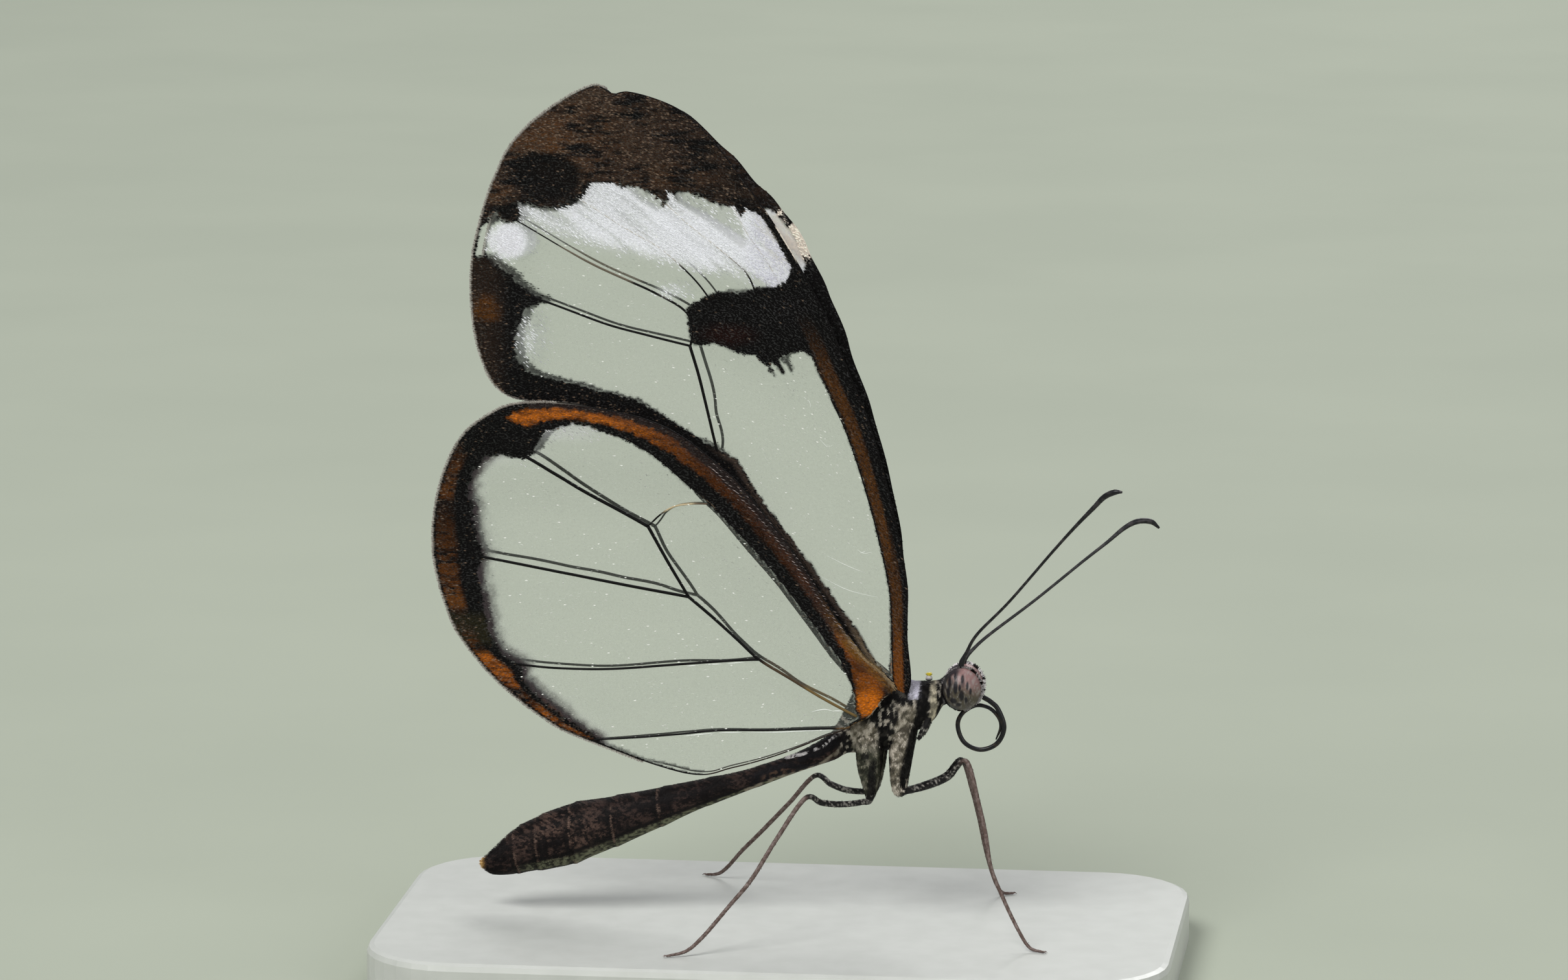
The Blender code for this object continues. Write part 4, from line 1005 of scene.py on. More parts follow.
def add_membrane(kind, side, plan, materials):
    p, triangles, rim = plan
    seen = WINGS[kind][-1](p)
    dark, white, haze, shade = (seen[key] for key in ("dark", "white", "haze", "shade"))
    middle = sheet_away(kind, p)
    outer = place(kind, p, middle + SHEET / 2, side)
    inner = place(kind, p, middle - SHEET / 2, side)
    count = len(p)
    ring = np.arange(rim)
    after = (ring + 1) % rim
    walls = np.vstack([
        np.stack([ring, after, after + count], axis=1),
        np.stack([ring, after + count, ring + count], axis=1),
    ])
    faces = np.vstack([triangles, triangles[:, ::-1] + count, walls[:, ::-1]])
    corner = outer[faces[0]]
    if np.cross(corner[1] - corner[0], corner[2] - corner[0])[1] * side < 0:
        faces = faces[:, ::-1]
    colour = layered(
        CLEAR, (MILK, np.clip(haze * 1.4, 0, 1)), (WHITE, smooth(white, 0.0, 0.5)),
        ((0.05, 0.035, 0.04), smooth(shade, 0.0, 0.35)),
    )
    colour = np.where((dark > 0.04)[:, None], seen["colour"], colour)
    clear = 1 - np.clip(dark + white, 0, 1)
    cover = CLEAR_ALPHA * (1 + 2.2 * haze) * clear + np.clip(dark, 0, 1) + 0.7 * white
    cover = np.clip(cover + 0.75 * shade, 0, 1)
    mesh = build_mesh(f"wing_{kind}_{WORDS[side]}", np.vstack([outer, inner]), faces)
    paint(mesh, np.vstack([colour, blend(colour, CREAM, seen["patch"])]))
    covers = mesh.attributes.new("cover", "FLOAT", "POINT")
    covers.data.foreach_set("value", np.tile(cover, 2).astype(np.float32))
    piece = new_object(mesh.name, mesh, materials["membrane"])
    finish_piece(piece, "wing_membrane", f"{kind}_{WORDS[side]}")


# Tinted lengths of the hindwing's veins, the first a painted highlight: the tint, its strength, the line
# and how far it reaches.
HINDWING_VEIN_TINTS_AND_HIGHLIGHT = (
    ((0.5, 0.4, 0.25), 1.0, ((-4.7, 19.9), (-3.9, 20.13)), 0.45),
    ((0.10, 0.07, 0.045), 1.0, ((-3.4, 20.14), (-3.0, 20.16)), 0.4),
    ((0.17, 0.11, 0.04), 0.8, ((3.4, 11.2), (1.2, 12.3)), 0.35),
    ((0.07, 0.045, 0.025), 0.8, ((0.9, 12.45), (-0.6, 13.2)), 0.3),
    ((0.12, 0.07, 0.03), 0.7, ((3.2, 10.9), (2.6, 10.6)), 0.3),
    ((0.022, 0.014, 0.010), 1.0, HINDWING_ANAL, 0.12),
    ((0.24, 0.2, 0.15), 0.8, HINDWING_ROOT_RIM, 0.12),
    ((0.10, 0.06, 0.02), 1.0, ((4.3, 13.3), (3.0, 14.6)), 0.15),
)
FOREWING_VEIN_TINTS = (((0.2, 0.165, 0.12), 0.6, FOREWING_VEINS[2][4:7], 0.3),)


def vein_colour(kind, p, seen):
    """Black veins, pale where they cross the white band, golden near the root, and one painted highlight
    on a hindwing vein.
    """
    rim = gap_to(p, WINGS[kind][0], closed=True)
    colour = layered(
        (0.005, 0.0045, 0.0045),
        ((0.13, 0.115, 0.10), smooth(rim, 0.1, 0.05) * smooth(p[:, 0], -8.0, -10.0)),
        ((0.62, 0.58, 0.52), 0.85 * smooth(seen["white"], 0.12, 0.5)),
    )
    for tint, strength, line, reach in HINDWING_VEIN_TINTS_AND_HIGHLIGHT if kind == "hindwing" else FOREWING_VEIN_TINTS:
        colour = blend(colour, tint, strength * line_mark(p, line, reach, reach * 0.4))
    return blend(colour, CREAM, smooth(seen["patch"], 0.1, 0.5))


def band_edge(kind):
    """The smooth inner edge of the dark band along a wing's front."""
    if kind == "hindwing":
        return np.array(HINDWING_BAND[12:28]) + (0.02, 0.02)
    costa = front_edge()
    costa = costa[costa[:, 1] < FRONT_BAND_TOP]
    ahead = unit(np.gradient(costa, axis=0))
    inward = np.stack([-ahead[:, 1], ahead[:, 0]], axis=1)
    width = np.interp(costa[:, 1], COSTA_AT, COSTA_WIDTH) - 0.02
    return costa + inward * width[:, None]


def add_veins(kind, side, materials):
    outline_points, veins, vein_radii, _, look = WINGS[kind]
    rim = spline(outline_points, 0.3, closed=True)
    lines = [*zip(veins, vein_radii), (np.vstack([rim, rim[:1]]), RIM_RADIUS),
             (band_edge(kind), EDGE_RADIUS)]
    tubes = []
    for line, radius in lines:
        curve = spline(line, 0.18)
        seen = look(curve)
        radii = radius * np.linspace(1.05, 0.9, len(curve)) * (1 - 0.3 * smooth(seen["white"], 0.1, 0.5))
        if line is FOREWING_VEINS[2]:
            radii = np.maximum(radii * smooth(curve[:, 0], -11.5, -8.0), THIN_VEIN)
        radii = np.where(seen["dark"] > 0.6, np.minimum(radii, THIN_VEIN), radii)
        tubes.append(tube_rings(place(kind, curve, sheet_away(kind, curve), side), radii, 0.2))

    def colour_of(points):
        p = points[:, (0, 2)]
        if side == LEFT:
            p = p - left_shift(kind, p)
        return vein_colour(kind, p, look(p))

    piece = skin(f"veins_{kind}_{WORDS[side]}", tubes, VEIN_SIDES, colour_of, materials["vein"])
    finish_piece(piece, "wing_membrane")


def plane_way(angle):
    """Directions in the wing's plane that lean up by an angle from the way to the tail."""
    return np.stack([-np.cos(angle), np.sin(angle)], axis=1)


def add_wing_tufts(name, kind, side, material, p, away, angle, shape, uvs, face=1, bend=0.42):
    """Tufts on a wing's sheet, whose face is 1 outside and -1 inside."""
    along = np.stack([-np.cos(angle), np.zeros(len(p)), np.sin(angle)], axis=1)
    out = flat((0, face * side, 0), len(p))
    roots = place(kind, p, away, side)
    piece = tufts(f"{name}_{WORDS[side]}", material, roots, along, out, *shape, uvs, bend)
    finish_piece(piece, "wing_membrane")


def scale_angle(kind, p):
    """The lean of the scales above the way to the tail, which grows towards the root."""
    from_root = p - WING_HINGE
    angle = np.arctan2(from_root[:, 1], -from_root[:, 0])
    share = np.interp(p[:, 0], (-8.0, 1.0), (0.12, 0.42))
    return angle * share


def add_scales(kind, side, materials, rng):
    """The scales on a wing's outer face, dark or white, and sparse hairs on its clear parts."""
    outline_points, look = WINGS[kind][0], WINGS[kind][-1]
    outline = spline(outline_points, 0.3, closed=True)
    low, high = outline.min(0), outline.max(0)
    step = np.array(SCALE_STEP)
    places = (np.arange(a, b, s) for a, b, s in zip(low, high, step))
    grid = np.stack(np.meshgrid(*places), axis=-1).reshape(-1, 2)
    grid = grid + (rng.random(grid.shape) - 0.5) * step * 1.3
    grid = grid[inside(grid, outline)]
    seen = look(grid)
    chance = rng.random(len(grid))
    is_dark = chance < seen["dark"] * 1.05
    is_white = ~is_dark & (chance < seen["white"] * 0.95)
    crowd = spots(grid, ((1.0, ((-9.7, 21.0), (1.6, 0.9), 0.9)), (1.0, ((0.4, 23.3), (2.0, 2.2), 0.9))))
    sparse = rng.random(len(grid)) < 0.05 + 0.07 * crowd
    is_hair = ~is_dark & ~is_white & sparse
    keep = is_dark | is_white | is_hair
    p, is_dark, is_white, is_hair = grid[keep], is_dark[keep], is_white[keep], is_hair[keep]
    count = len(p)
    dice = rng.random((count, 4))

    dark_colour = seen["colour"][keep] * (0.6 + 0.8 * dice[:, :1])
    # Painted sheen: some dark scales are made pale brown.
    pale = dice[:, 1] < seen["pale"][keep]
    lit = blend(dark_colour, SHEEN_BROWN, np.full(count, 0.7))
    dark_colour = np.where(pale[:, None], lit * (0.4 + 1.1 * dice[:, 2:3] ** 2), dark_colour)
    light = seen["light"][keep] * (0.8 + 0.2 * dice[:, :1])
    bright = is_hair & (dice[:, 1] < 0.06)
    dull = flat((0.6, 0.61, 0.56), count) * (0.8 + 0.5 * dice[:, :1] ** 3)
    hair = np.where(bright[:, None], (0.9, 0.9, 0.85), dull)
    colour = np.where(is_dark[:, None], dark_colour, np.where(is_white[:, None], light, hair))

    angle = np.where(is_white, -STREAK_LEAN, scale_angle(kind, p)) + (dice[:, 3] - 0.5) * 0.3
    lengths = np.where(is_hair, HAIR_LENGTH, np.where(is_white, WHITE_LENGTH, DARK_LENGTH))
    lengths = lengths * (0.75 + 0.5 * dice[:, 2])
    hair_widths = np.where(bright, BRIGHT_WIDTH, HAIR_WIDTH)
    widths = np.where(is_hair, hair_widths, np.where(is_white, WHITE_WIDTH, DARK_WIDTH))
    lifts = np.where(is_hair, 0.015, 0.014) * (0.5 + dice[:, 0] * 1.2)
    way = plane_way(angle)
    tips = p + way * lengths[:, None] * 0.5
    bare_tip = is_dark.copy()
    bare_tip[is_dark] = look(tips[is_dark])["dark"] < 0.5
    lengths = np.where(bare_tip & (p[:, 0] > -7.0), TIP_LENGTH, lengths)
    roots = p - way * lengths[:, None] * 0.5
    away = sheet_away(kind, p) + SHEET / 2 + SCALE_GAP
    add_wing_tufts(f"scales_{kind}", kind, side, materials["scale"], roots, away, angle,
                   (lengths, widths, lifts, colour), sheet_uvs(p, low, high))


def add_inner_scales(side, materials, rng):
    """Scales on the inner face of a forewing, along its front edge, where the other wing shows it."""
    low, high = np.array([-6.0, 12.2]), np.array([5.6, 37.6])
    p = low + (high - low) * rng.random((INNER_SCALES, 2))
    outline = spline(FOREWING, 0.5, closed=True)
    p = p[(gap_to(p, front_edge()) < 1.2) & inside(p, outline)]
    p = p[forewing_look(p)["dark"] > 0.5]
    seen = forewing_look(p)
    dice = rng.random((len(p), 3))
    creamy = dice[:, 0] < seen["patch"]
    colour = np.where(creamy[:, None], np.array(CREAM) * 1.25, seen["colour"] * 1.4)
    colour = colour * (0.6 + 0.8 * dice[:, 1:2])
    angle = scale_angle("forewing", p) + (dice[:, 2] - 0.5) * 0.3
    away = sheet_away("forewing", p) - SHEET / 2 - SCALE_GAP
    shape = (0.12 + 0.06 * dice[:, 1], DARK_WIDTH, 0.008 + 0.016 * dice[:, 0], colour)
    add_wing_tufts("scales_inner", "forewing", side, materials["scale"], p - plane_way(angle) * 0.07,
                   away, angle, shape, sheet_uvs(p, low, high), face=-1)


def add_fringe(kind, side, materials, rng):
    """Short hairs that stand out from a wing's outer margin."""
    outline = spline(WINGS[kind][0], 0.014, closed=True)
    x, z = outline.T
    if kind == "forewing":
        outline, centre = outline[(x < -7.6) & (z > 24.3)], (-4.0, 26.0)
    else:
        outline, centre = outline[(x < -9.5) | ((z < 12) & (x < -6.0))], (-4.0, 17.0)
    outline = outline + (rng.random(outline.shape) - 0.5) * 0.02
    count = len(outline)
    out_way = outline - centre
    angle = np.arctan2(out_way[:, 1], -out_way[:, 0]) + (rng.random(count) - 0.5) * 0.3
    dice = rng.random((count, 3))
    colour = layered((0.14, 0.12, 0.105), ((0.45, 0.42, 0.38), dice[:, 0]))
    shape = (0.1 + 0.05 * dice[:, 1], 0.03, 0.02 * (dice[:, 2] - 0.5), colour)
    uvs = sheet_uvs(outline, outline.min(0), outline.max(0))
    add_wing_tufts(f"fringe_{kind}", kind, side, materials["scale"], outline, sheet_away(kind, outline),
                   angle, shape, uvs, bend=0.6)


def white_line_colour(points):
    return flat((0.8, 0.82, 0.78), len(points))


def add_white_lines_and_glints(materials):
    """Fine white lines on the right wings' membranes and along two veins. Those on the hindwing are
    painted glints.
    """
    for kind, (radius, lines) in WHITE_LINES_AND_GLINTS.items():
        tubes = []
        for line in lines:
            curve = spline(line, 0.1)
            away = sheet_away(kind, curve) + SHEET / 2
            radii = radius * np.sin(np.linspace(0.15, np.pi - 0.15, len(curve)))
            tubes.append(tube_rings(place(kind, curve, away, RIGHT), radii, 0.1))
        piece = skin(f"white_lines_{kind}", tubes, WHITE_LINE_SIDES, white_line_colour, materials["vein"])
        finish_piece(piece, "wing_membrane")


# The glints lie along this line and two beside it, each (shift, size, share kept).
GLINT_LINE = ((-2.9, 21.75), (-1.85, 20.75), (-0.5, 19.25), (0.65, 17.75), (1.85, 16.05),
              (2.7, 14.95), (3.3, 14.25))
GLINT_ROWS = ((0.0, 1.0, 1.0), (0.2, 0.7, 0.6), (-0.17, 0.6, 0.35))


def add_glints(materials, rng):
    """The row of scale tips along the hindwing's front vein, painted pale as glints, on both sides."""
    row = spline(GLINT_LINE, 0.2)
    for side in (RIGHT, LEFT):
        parts = []
        for shift, size, share in GLINT_ROWS:
            kept = row[rng.random(len(row)) < share] + (shift * 0.75, shift * 0.66)
            parts.append(np.hstack([kept, np.full((len(kept), 1), size)]))
        points = np.vstack(parts)
        count = len(points)
        p, size = points[:, :2] + (rng.random((count, 2)) - 0.5) * 0.05, points[:, 2]
        angle = np.radians(24 + 10 * rng.random(count))
        colour = flat((0.42, 0.35, 0.34), count) * (0.3 + 0.9 * rng.random((count, 1)))
        away = sheet_away("hindwing", p) + SHEET / 2 + 0.03
        low, high = p.min(0) - 1, p.max(0) + 1
        add_wing_tufts("glints", "hindwing", side, materials["scale"], p, away, angle,
                       (0.22 * size, 0.028 * size, 0.03, colour), (p - low) / (high - low))


def add_wings(materials, rng):
    for kind in WINGS:
        plan = wing_plan(WINGS[kind][0])
        for side in (RIGHT, LEFT):
            add_membrane(kind, side, plan, materials)
            add_veins(kind, side, materials)
            add_scales(kind, side, materials, rng)
            add_fringe(kind, side, materials, rng)
    for side in (RIGHT, LEFT):
        add_inner_scales(side, materials, rng)
    add_glints(materials, rng)
    add_white_lines_and_glints(materials)


# Body

def flank_colour(x, z, fine, broad):
    """The black and pale pattern on the thorax and down the coxae, and painted shade between the coxae.
    """
    p = np.stack([x, z], axis=1)
    pale = layered((0.15, 0.13, 0.095), ((0.48, 0.43, 0.36), smooth(fine, 0.4, 0.8)))
    olive = layered((0.045, 0.046, 0.03), ((0.2, 0.185, 0.14), smooth(fine, 0.5, 0.9)))
    pale = blend(pale, olive, smooth(x, 4.55, 4.4) * smooth(z, 10.3, 9.5))
    colour = layered(BODY_BLACK, ((0.40, 0.36, 0.30), smooth(fine + 0.3 * broad, 0.78, 0.95)))
    covered = 0.45 + 0.55 * smooth(fine + 0.25 * broad, 0.36, 0.56)
    for outline in PALE_FLANKS:
        colour = blend(colour, pale, zone(p, outline, 0.08, 0.25) * covered)
    middle = np.interp(z, (7.8, 9.3), (3.87, 3.98))
    hind_stripe = smooth(np.abs(x - middle), 0.2, 0.13) * smooth(z, 9.5, 9.2)
    # Painted shade: black in the gap between the mid and hind coxae, mottled higher up.
    wide = np.interp(z, (10.7, 11.8), (0.2, 0.38))
    between = smooth(np.abs(x - 4.43), wide + 0.04, wide - 0.05) * smooth(z, 12.1, 11.8)
    between *= np.where(z > 10.8, smooth(fine, 0.62, 0.45), 1.0)
    collar = 0.95 * zone(p, COLLAR, 0.04, 0.08) * (0.6 + 0.4 * smooth(fine, 0.2, 0.5))
    pit = np.hypot(x - 3.63, z - 9.45)
    half = np.interp(z, (8.5, 10.0, 11.7), (0.13, 0.16, 0.21))
    neck = 0.85 * line_mark(p, NECK_STRIPE, 0.15, 0.09) * (0.4 + 0.6 * smooth(fine, 0.3, 0.6))
    return layered(
        colour,
        (BLACK, 0.95 * np.maximum(hind_stripe, between)),
        (BLACK, 0.9 * zone(p, SHOULDER, 0.06, 0.1)),
        ((0.62, 0.6, 0.68), collar),
        (BLACK, 0.9 * smooth(np.abs(pit - 0.12), 0.08, 0.03)),
        (BLACK, 0.97 * smooth(gap_to(p, FRONT_STRIPE), half + 0.04, half - 0.03)),
        ((0.6, 0.54, 0.4), neck),
    )


def abdomen_colour(points, fine, broad):
    """Dark rings with pale edges, olive below, and the markings under the wings, among them white dashes
    painted as a highlight.
    """
    x, z = points[:, 0], points[:, 2]
    p = np.stack([x, z], axis=1)
    middle = np.interp(x, (-13, -9, -5, -1.8, 0), (4.0, 5.35, 6.77, 7.86, 8.55))
    half = np.interp(x, (-13, -9, -5, -1.8, 0), (0.5, 1.3, 0.85, 0.52, 0.46))
    rise = (z - middle) / half
    grain = ripple(slanted(points, 1, 0.6), (0.09, 0.06), 7)
    tan = spot(p, (-9.6, 5.6), (1.9, 0.9), 0.7) * smooth(fine + broad, 0.7, 1.2)
    stretch = smooth(x, -11.8, -10.5) * smooth(x, 0.9, 0.2)
    olive = smooth(rise, -0.5, -0.6) * smooth(rise, -1.02, -0.9) * stretch
    colour = layered(
        (0.0065, 0.005, 0.005),
        ((0.04, 0.025, 0.021), smooth(grain * (0.4 + broad), 0.35, 0.8)),
        ((0.13, 0.08, 0.06), 0.55 * tan * smooth(grain, 0.4, 0.7)),
        ((0.14, 0.145, 0.09), olive * (0.1 + 0.9 * smooth(grain, 0.35, 0.65))),
        (BLACK, 0.85 * smooth(np.abs(rise + 0.42), 0.13, 0.05) * stretch),
    )
    for edge in SEGMENT_EDGES[1:6]:
        away = x - edge + 0.12 * rise
        ridge = 0.5 * smooth(np.abs(away), 0.05, 0.02) * smooth(fine, 0.3, 0.5)
        furrow = 0.7 * smooth(np.abs(away + 0.13), 0.12, 0.05)
        colour = layered(colour, ((0.2, 0.13, 0.10), ridge), (BLACK, furrow))
    under_wing = smooth(x, -1.6, -0.9)
    fold = smooth(np.abs(x - 0.3), 1.3, 0.9) * smooth(np.abs(rise + 0.15), 0.4, 0.2)
    # White dashes along this line: a painted highlight.
    gap, along = nearest(p, ABDOMEN_HIGHLIGHT_LINE)
    highlight_dashes = smooth(ripple(np.stack([along, along * 0], axis=1), 0.085, 4), 0.48, 0.6)
    seam = line_mark(p, ABDOMEN_SEAM, 0.1, 0.05)
    return layered(
        colour,
        ((0.008, 0.0075, 0.009), 0.9 * under_wing * smooth(np.abs(rise - 0.1), 0.7, 0.4)),
        ((0.11, 0.065, 0.045), 0.7 * fold * smooth(fine, 0.4, 0.6)),
        ((0.006, 0.0055, 0.0065), 0.95 * zone(p, ABDOMEN_LENS, 0.05, 0.08)),
        ((0.6, 0.57, 0.56), 0.9 * highlight_dashes * smooth(gap, 0.06, 0.03)),
        ((0.26, 0.22, 0.17), 0.8 * seam * smooth(fine, 0.2, 0.5)),
        ((0.45, 0.25, 0.07), 0.7 * smooth(x, -12.85, -13.1)),
    )


def trunk_colour(points):
    """The trunk's markings by place, for its skin and for the coat on it."""
    x, z = points[:, 0], points[:, 2]
    fine = ripple(slanted(points, 1.3, 0.6), 0.16)
    broad = ripple(slanted(points, 1, 0.5), 0.55, 2)
    thorax = flank_colour(x, z, fine, broad)
    head = layered(
        (0.010, 0.009, 0.010), ((0.7, 0.68, 0.7), smooth(fine + 0.2 * broad, 0.5, 0.62)),
        ((0.03, 0.028, 0.03), 0.8 * smooth(x, 7.3, 6.9)),
    )
    return layered(
        abdomen_colour(points, fine, broad), (thorax, smooth(x, 2.2, 2.7)), (head, smooth(x, 6.75, 6.95)),
    )


def body_rings():
    """The trunk's rings, a coat's depth inside its solids, with a swell in each segment."""
    centres, wide, tall = upright_rings(TRUNK, 0.11)
    x = centres[:, 0]
    edges = np.array(SEGMENT_EDGES)
    inner = np.clip(np.searchsorted(edges, x), 1, len(edges) - 1)
    share = np.clip((edges[inner] - x) / (edges[inner] - edges[inner - 1]), 0, 1)
    swell = np.where(x < edges[-1], 0.985 + 0.05 * share**2.5 * smooth(share, 1.0, 0.93), 1.0)
    depth = COAT_DEPTH / np.maximum(np.linalg.norm(tall, axis=1), 0.2)
    size = (swell * (1 - depth))[:, None]
    return centres, wide * size, tall * size


# The trunk's coats are (name, count, from x, to x, length, width, lift, spread of angle).
TRUNK_COATS = (
    ("coat_abdomen", 44000, -13.2, 2.4, 0.09, 0.034, 0.012, 0.4),
    ("coat_thorax", 42000, 2.2, 6.95, 0.13, 0.024, 0.03, 0.9),
    ("coat_head", 9000, 6.85, 8.4, 0.1, 0.024, 0.035, 0.9),
)


def add_trunk(materials, rng):
    rings = body_rings()
    piece = skin("body_skin", [rings], TRUNK_SIDES, trunk_colour, materials["skin"])
    finish_piece(piece, "body_scales", *TRUNK_NODES)
    x = rings[0][:, 0]
    for name, count, first, last, length, width, lift, spread in TRUNK_COATS:
        places, turns = scatter(rings, count, rng, *np.searchsorted(x, (first, last)) / (len(x) - 1))
        points, out, along = on_rings(rings, places, turns)
        down = flat((0, 0, -1), count)
        down -= out * (down * out).sum(1)[:, None]
        droop = np.where(points[:, 0] > 2.4, 0.9, 0.15)[:, None]
        way = turned(level(-along + down * droop, out), out, (rng.random(count) - 0.5) * spread)
        dice = rng.random((count, 3))
        colour = trunk_colour(points) * (0.7 + 0.6 * dice[:, :1])
        piece = tufts(
            name, materials["hair"], points, way, out, length * (0.6 + 0.8 * dice[:, 1]), width,
            lift * (0.4 + 1.2 * dice[:, 2]), colour, tube_uvs(rings, places, turns),
        )
        finish_piece(piece, "body_scales")


def add_tail_tuft(materials, rng):
    count = TAIL_HAIRS
    turn, share = rng.random(count) * 2 * np.pi, rng.random(count)
    cosine, sine = np.cos(turn), np.sin(turn)
    radius = 0.18 * np.sqrt(share)
    roots = np.stack([
        -12.98 + 0.12 * rng.random(count), radius * cosine * 0.8, 3.99 + radius * sine,
    ], axis=1)
    way = unit(np.stack([-np.ones(count), 0.5 * cosine * share, 0.45 * sine * share - 0.15], axis=1))
    out = level(np.stack([np.full(count, -0.2), cosine, sine], axis=1), way)
    dice = rng.random(count)
    colour = layered((0.3, 0.15, 0.04), ((0.75, 0.5, 0.2), dice))
    uvs = np.stack([turn / 7, share], axis=1) * 0.9 + 0.05
    piece = tufts("tuft_tail", materials["hair"], roots, way, out, 0.12 + 0.14 * dice, 0.025, 0.01,
                  colour, uvs)
    finish_piece(piece, "abdomen_cuticle")


def knob_colour(points):
    return layered((0.42, 0.4, 0.4), ((0.03, 0.03, 0.03), smooth(points[:, 2], 12.7, 12.6)))


def add_neck_knob(materials, rng):
    """A whitish knob on the neck with a few yellow scales on it."""
    centres, first, second = upright_rings(KNOB, 0.03)
    rings = (centres + (0, KNOB_Y, 0), first, second)
    piece = skin("neck_knob", [rings], LIMB_SIDES, knob_colour, materials["skin"])
    finish_piece(piece, "body_scales")
    count = KNOB_SCALES
    turn, share = rng.random(count) * 2 * np.pi, np.sqrt(rng.random(count))
    cosine, sine = np.cos(turn), np.sin(turn)
    roots = np.stack([
        6.24 + 0.11 * share * cosine, KNOB_Y + 0.1 * share * sine, 12.78 + 0.06 * rng.random(count),
    ], axis=1)
    way = unit(np.stack([share * cosine, share * sine, np.full(count, 0.9)], axis=1))
    out = unit(np.cross(way, np.stack([-sine, cosine, np.zeros(count)], axis=1)))
    colour = flat((0.75, 0.62, 0.06), count) * (0.6 + 0.6 * rng.random((count, 1)))
    uvs = 0.5 + 0.4 * share[:, None] * np.stack([cosine, sine], axis=1)
    lengths = 0.05 + 0.07 * rng.random(count)
    piece = tufts("neck_scales", materials["hair"], roots, way, out, lengths, 0.05, 0.01, colour, uvs)
    finish_piece(piece, "body_scales")


def eye_colour(points):
    """A brown eye with darker streaks and round black spots, dark behind its rear rim."""
    p = (points[:, (0, 2)] - EYE_CENTRE) / EYE_SIZE
    x, z = p.T
    streak = smooth(ripple(p, (0.12, 0.3), 5), 0.6, 0.8)
    colour = layered(
        (0.075, 0.062, 0.042),
        ((0.24, 0.142, 0.135), smooth(z + 0.45 * x, -0.1, 0.8)),
        ((0.30, 0.28, 0.265), 0.55 * smooth(ripple(p, (0.06, 0.09), 4), 0.5, 0.9)),
        ((0.025, 0.018, 0.022), 0.6 * streak * smooth(x, 0.7, 0.2)),
    )
    for cx, cz, rx, rz in EYE_SPOTS:
        radii = (rx * EYE_SPOT_GROWTH, rz * EYE_SPOT_GROWTH)
        colour = blend(colour, (0.006, 0.005, 0.008), 0.97 * spot(p, (cx, cz), radii, 0.3))
    dark_rim = smooth(np.hypot(x, z), 0.78, 0.9) * smooth(x, 0.1, -0.3)
    return blend(colour, (0.008, 0.007, 0.010), 0.95 * dark_rim)


def add_eye_ring(side, materials, rng):
    """Short black and white hairs round the edge of the eye."""
    count = EYE_RING_HAIRS
    turn = rng.random(count) * 2 * np.pi
    cosine, sine = np.cos(turn), np.sin(turn)
    radial = np.stack([cosine, np.zeros(count), sine], axis=1)
    roots = radial * (EYE_SIZE[0], 0, EYE_SIZE[1]) * (0.93 + 0.1 * rng.random((count, 1)))
    roots += (EYE_CENTRE[0], side * 0.5, EYE_CENTRE[1])
    roots[:, 1] -= side * 0.14 * rng.random(count)
    front = smooth(cosine + 0.5 * sine, 0.2, 0.9)
    way = radial * (0.25 + 0.5 * front)[:, None] + (0.0, side, 0.0)
    way = unit(way + (rng.random((count, 3)) - 0.5) * 0.5)
    dark = (rng.random(count) < 0.2) | ((sine < 0.2) & (cosine < 0.1))
    dark |= (np.abs(turn - 0.95) < 0.14) | (np.abs(turn - 0.3) < 0.06)
    colour = np.where(dark[:, None], (0.012, 0.010, 0.010), (0.68, 0.64, 0.64))
    colour = colour * (0.6 + 0.5 * rng.random((count, 1)))
    lengths = (0.06 + 0.05 * rng.random(count)) * (1 + 0.8 * front)
    piece = tufts(
        f"eye_ring_{WORDS[side]}", materials["hair"], roots, way, level(radial, way), lengths, 0.042,
        0.01, colour, 0.5 + 0.45 * radial[:, (0, 2)],
    )
    finish_piece(piece, "body_scales")


def add_eyes(materials, rng):
    for side, word in WORDS.items():
        angles = [share * math.pi / 2 for share in np.linspace(EYE_START, 1.0, EYE_RINGS)]
        centres = np.array([
            (EYE_CENTRE[0], side * (EYE_INNER + EYE_BULGE * math.sin(angle)), EYE_CENTRE[1])
            for angle in angles
        ])
        sizes = np.array([max(math.cos(angle), THINNEST) for angle in angles])[:, None]
        first = np.array([[EYE_SIZE[0], 0.0, 0.0]]) * sizes
        second = np.array([[0.0, 0.0, EYE_SIZE[1]]]) * sizes * -side
        rings = (centres, first, second)
        piece = skin(f"compound_eye_{word}", [rings], EYE_SIDES, eye_colour, materials["eye"])
        finish_piece(piece, "eye_facets", f"eye_{word}")
        add_eye_ring(side, materials, rng)


# Limbs and feelers

def side_of(name):
    return LEFT if name.endswith("left") else RIGHT


def leg_colour(points):
    """The flank's pattern and painted shade down the coxa, a speckled black femur, and brown beyond the
    knee.
    """
    x, y, z = points.T
    fine = ripple(slanted(points, 1.3, 0.6), 0.12, 3)
    broad = ripple(slanted(points, 1, 0.5), 0.55, 2)
    speck = ripple(slanted(points, 1.3, 0.6), 0.06, 5)
    coxa = flank_colour(x, z, fine, broad)
    femur = layered(BODY_BLACK, ((0.30, 0.28, 0.25), 0.9 * smooth(speck, 0.6, 0.85)))
    lower = layered((0.10, 0.066, 0.056), ((0.19, 0.145, 0.13), smooth(speck, 0.35, 0.8)))
    spread = np.abs(y)
    knee = np.where(x > 4.6, 2.62, 3.45)
    middle = np.where(x > 4.4, np.interp(z, (7.9, 9.3, 10.9), (5.02, 5.05, 5.2)), 3.8)
    beside = smooth(np.abs(x - middle), 0.62, 0.56) * smooth(spread, 1.7, 1.6)
    return layered(
        femur, (lower, smooth(spread, knee - 0.05, knee + 0.15)),
        (coxa, beside * smooth(z, 7.62, 7.78)),
    )


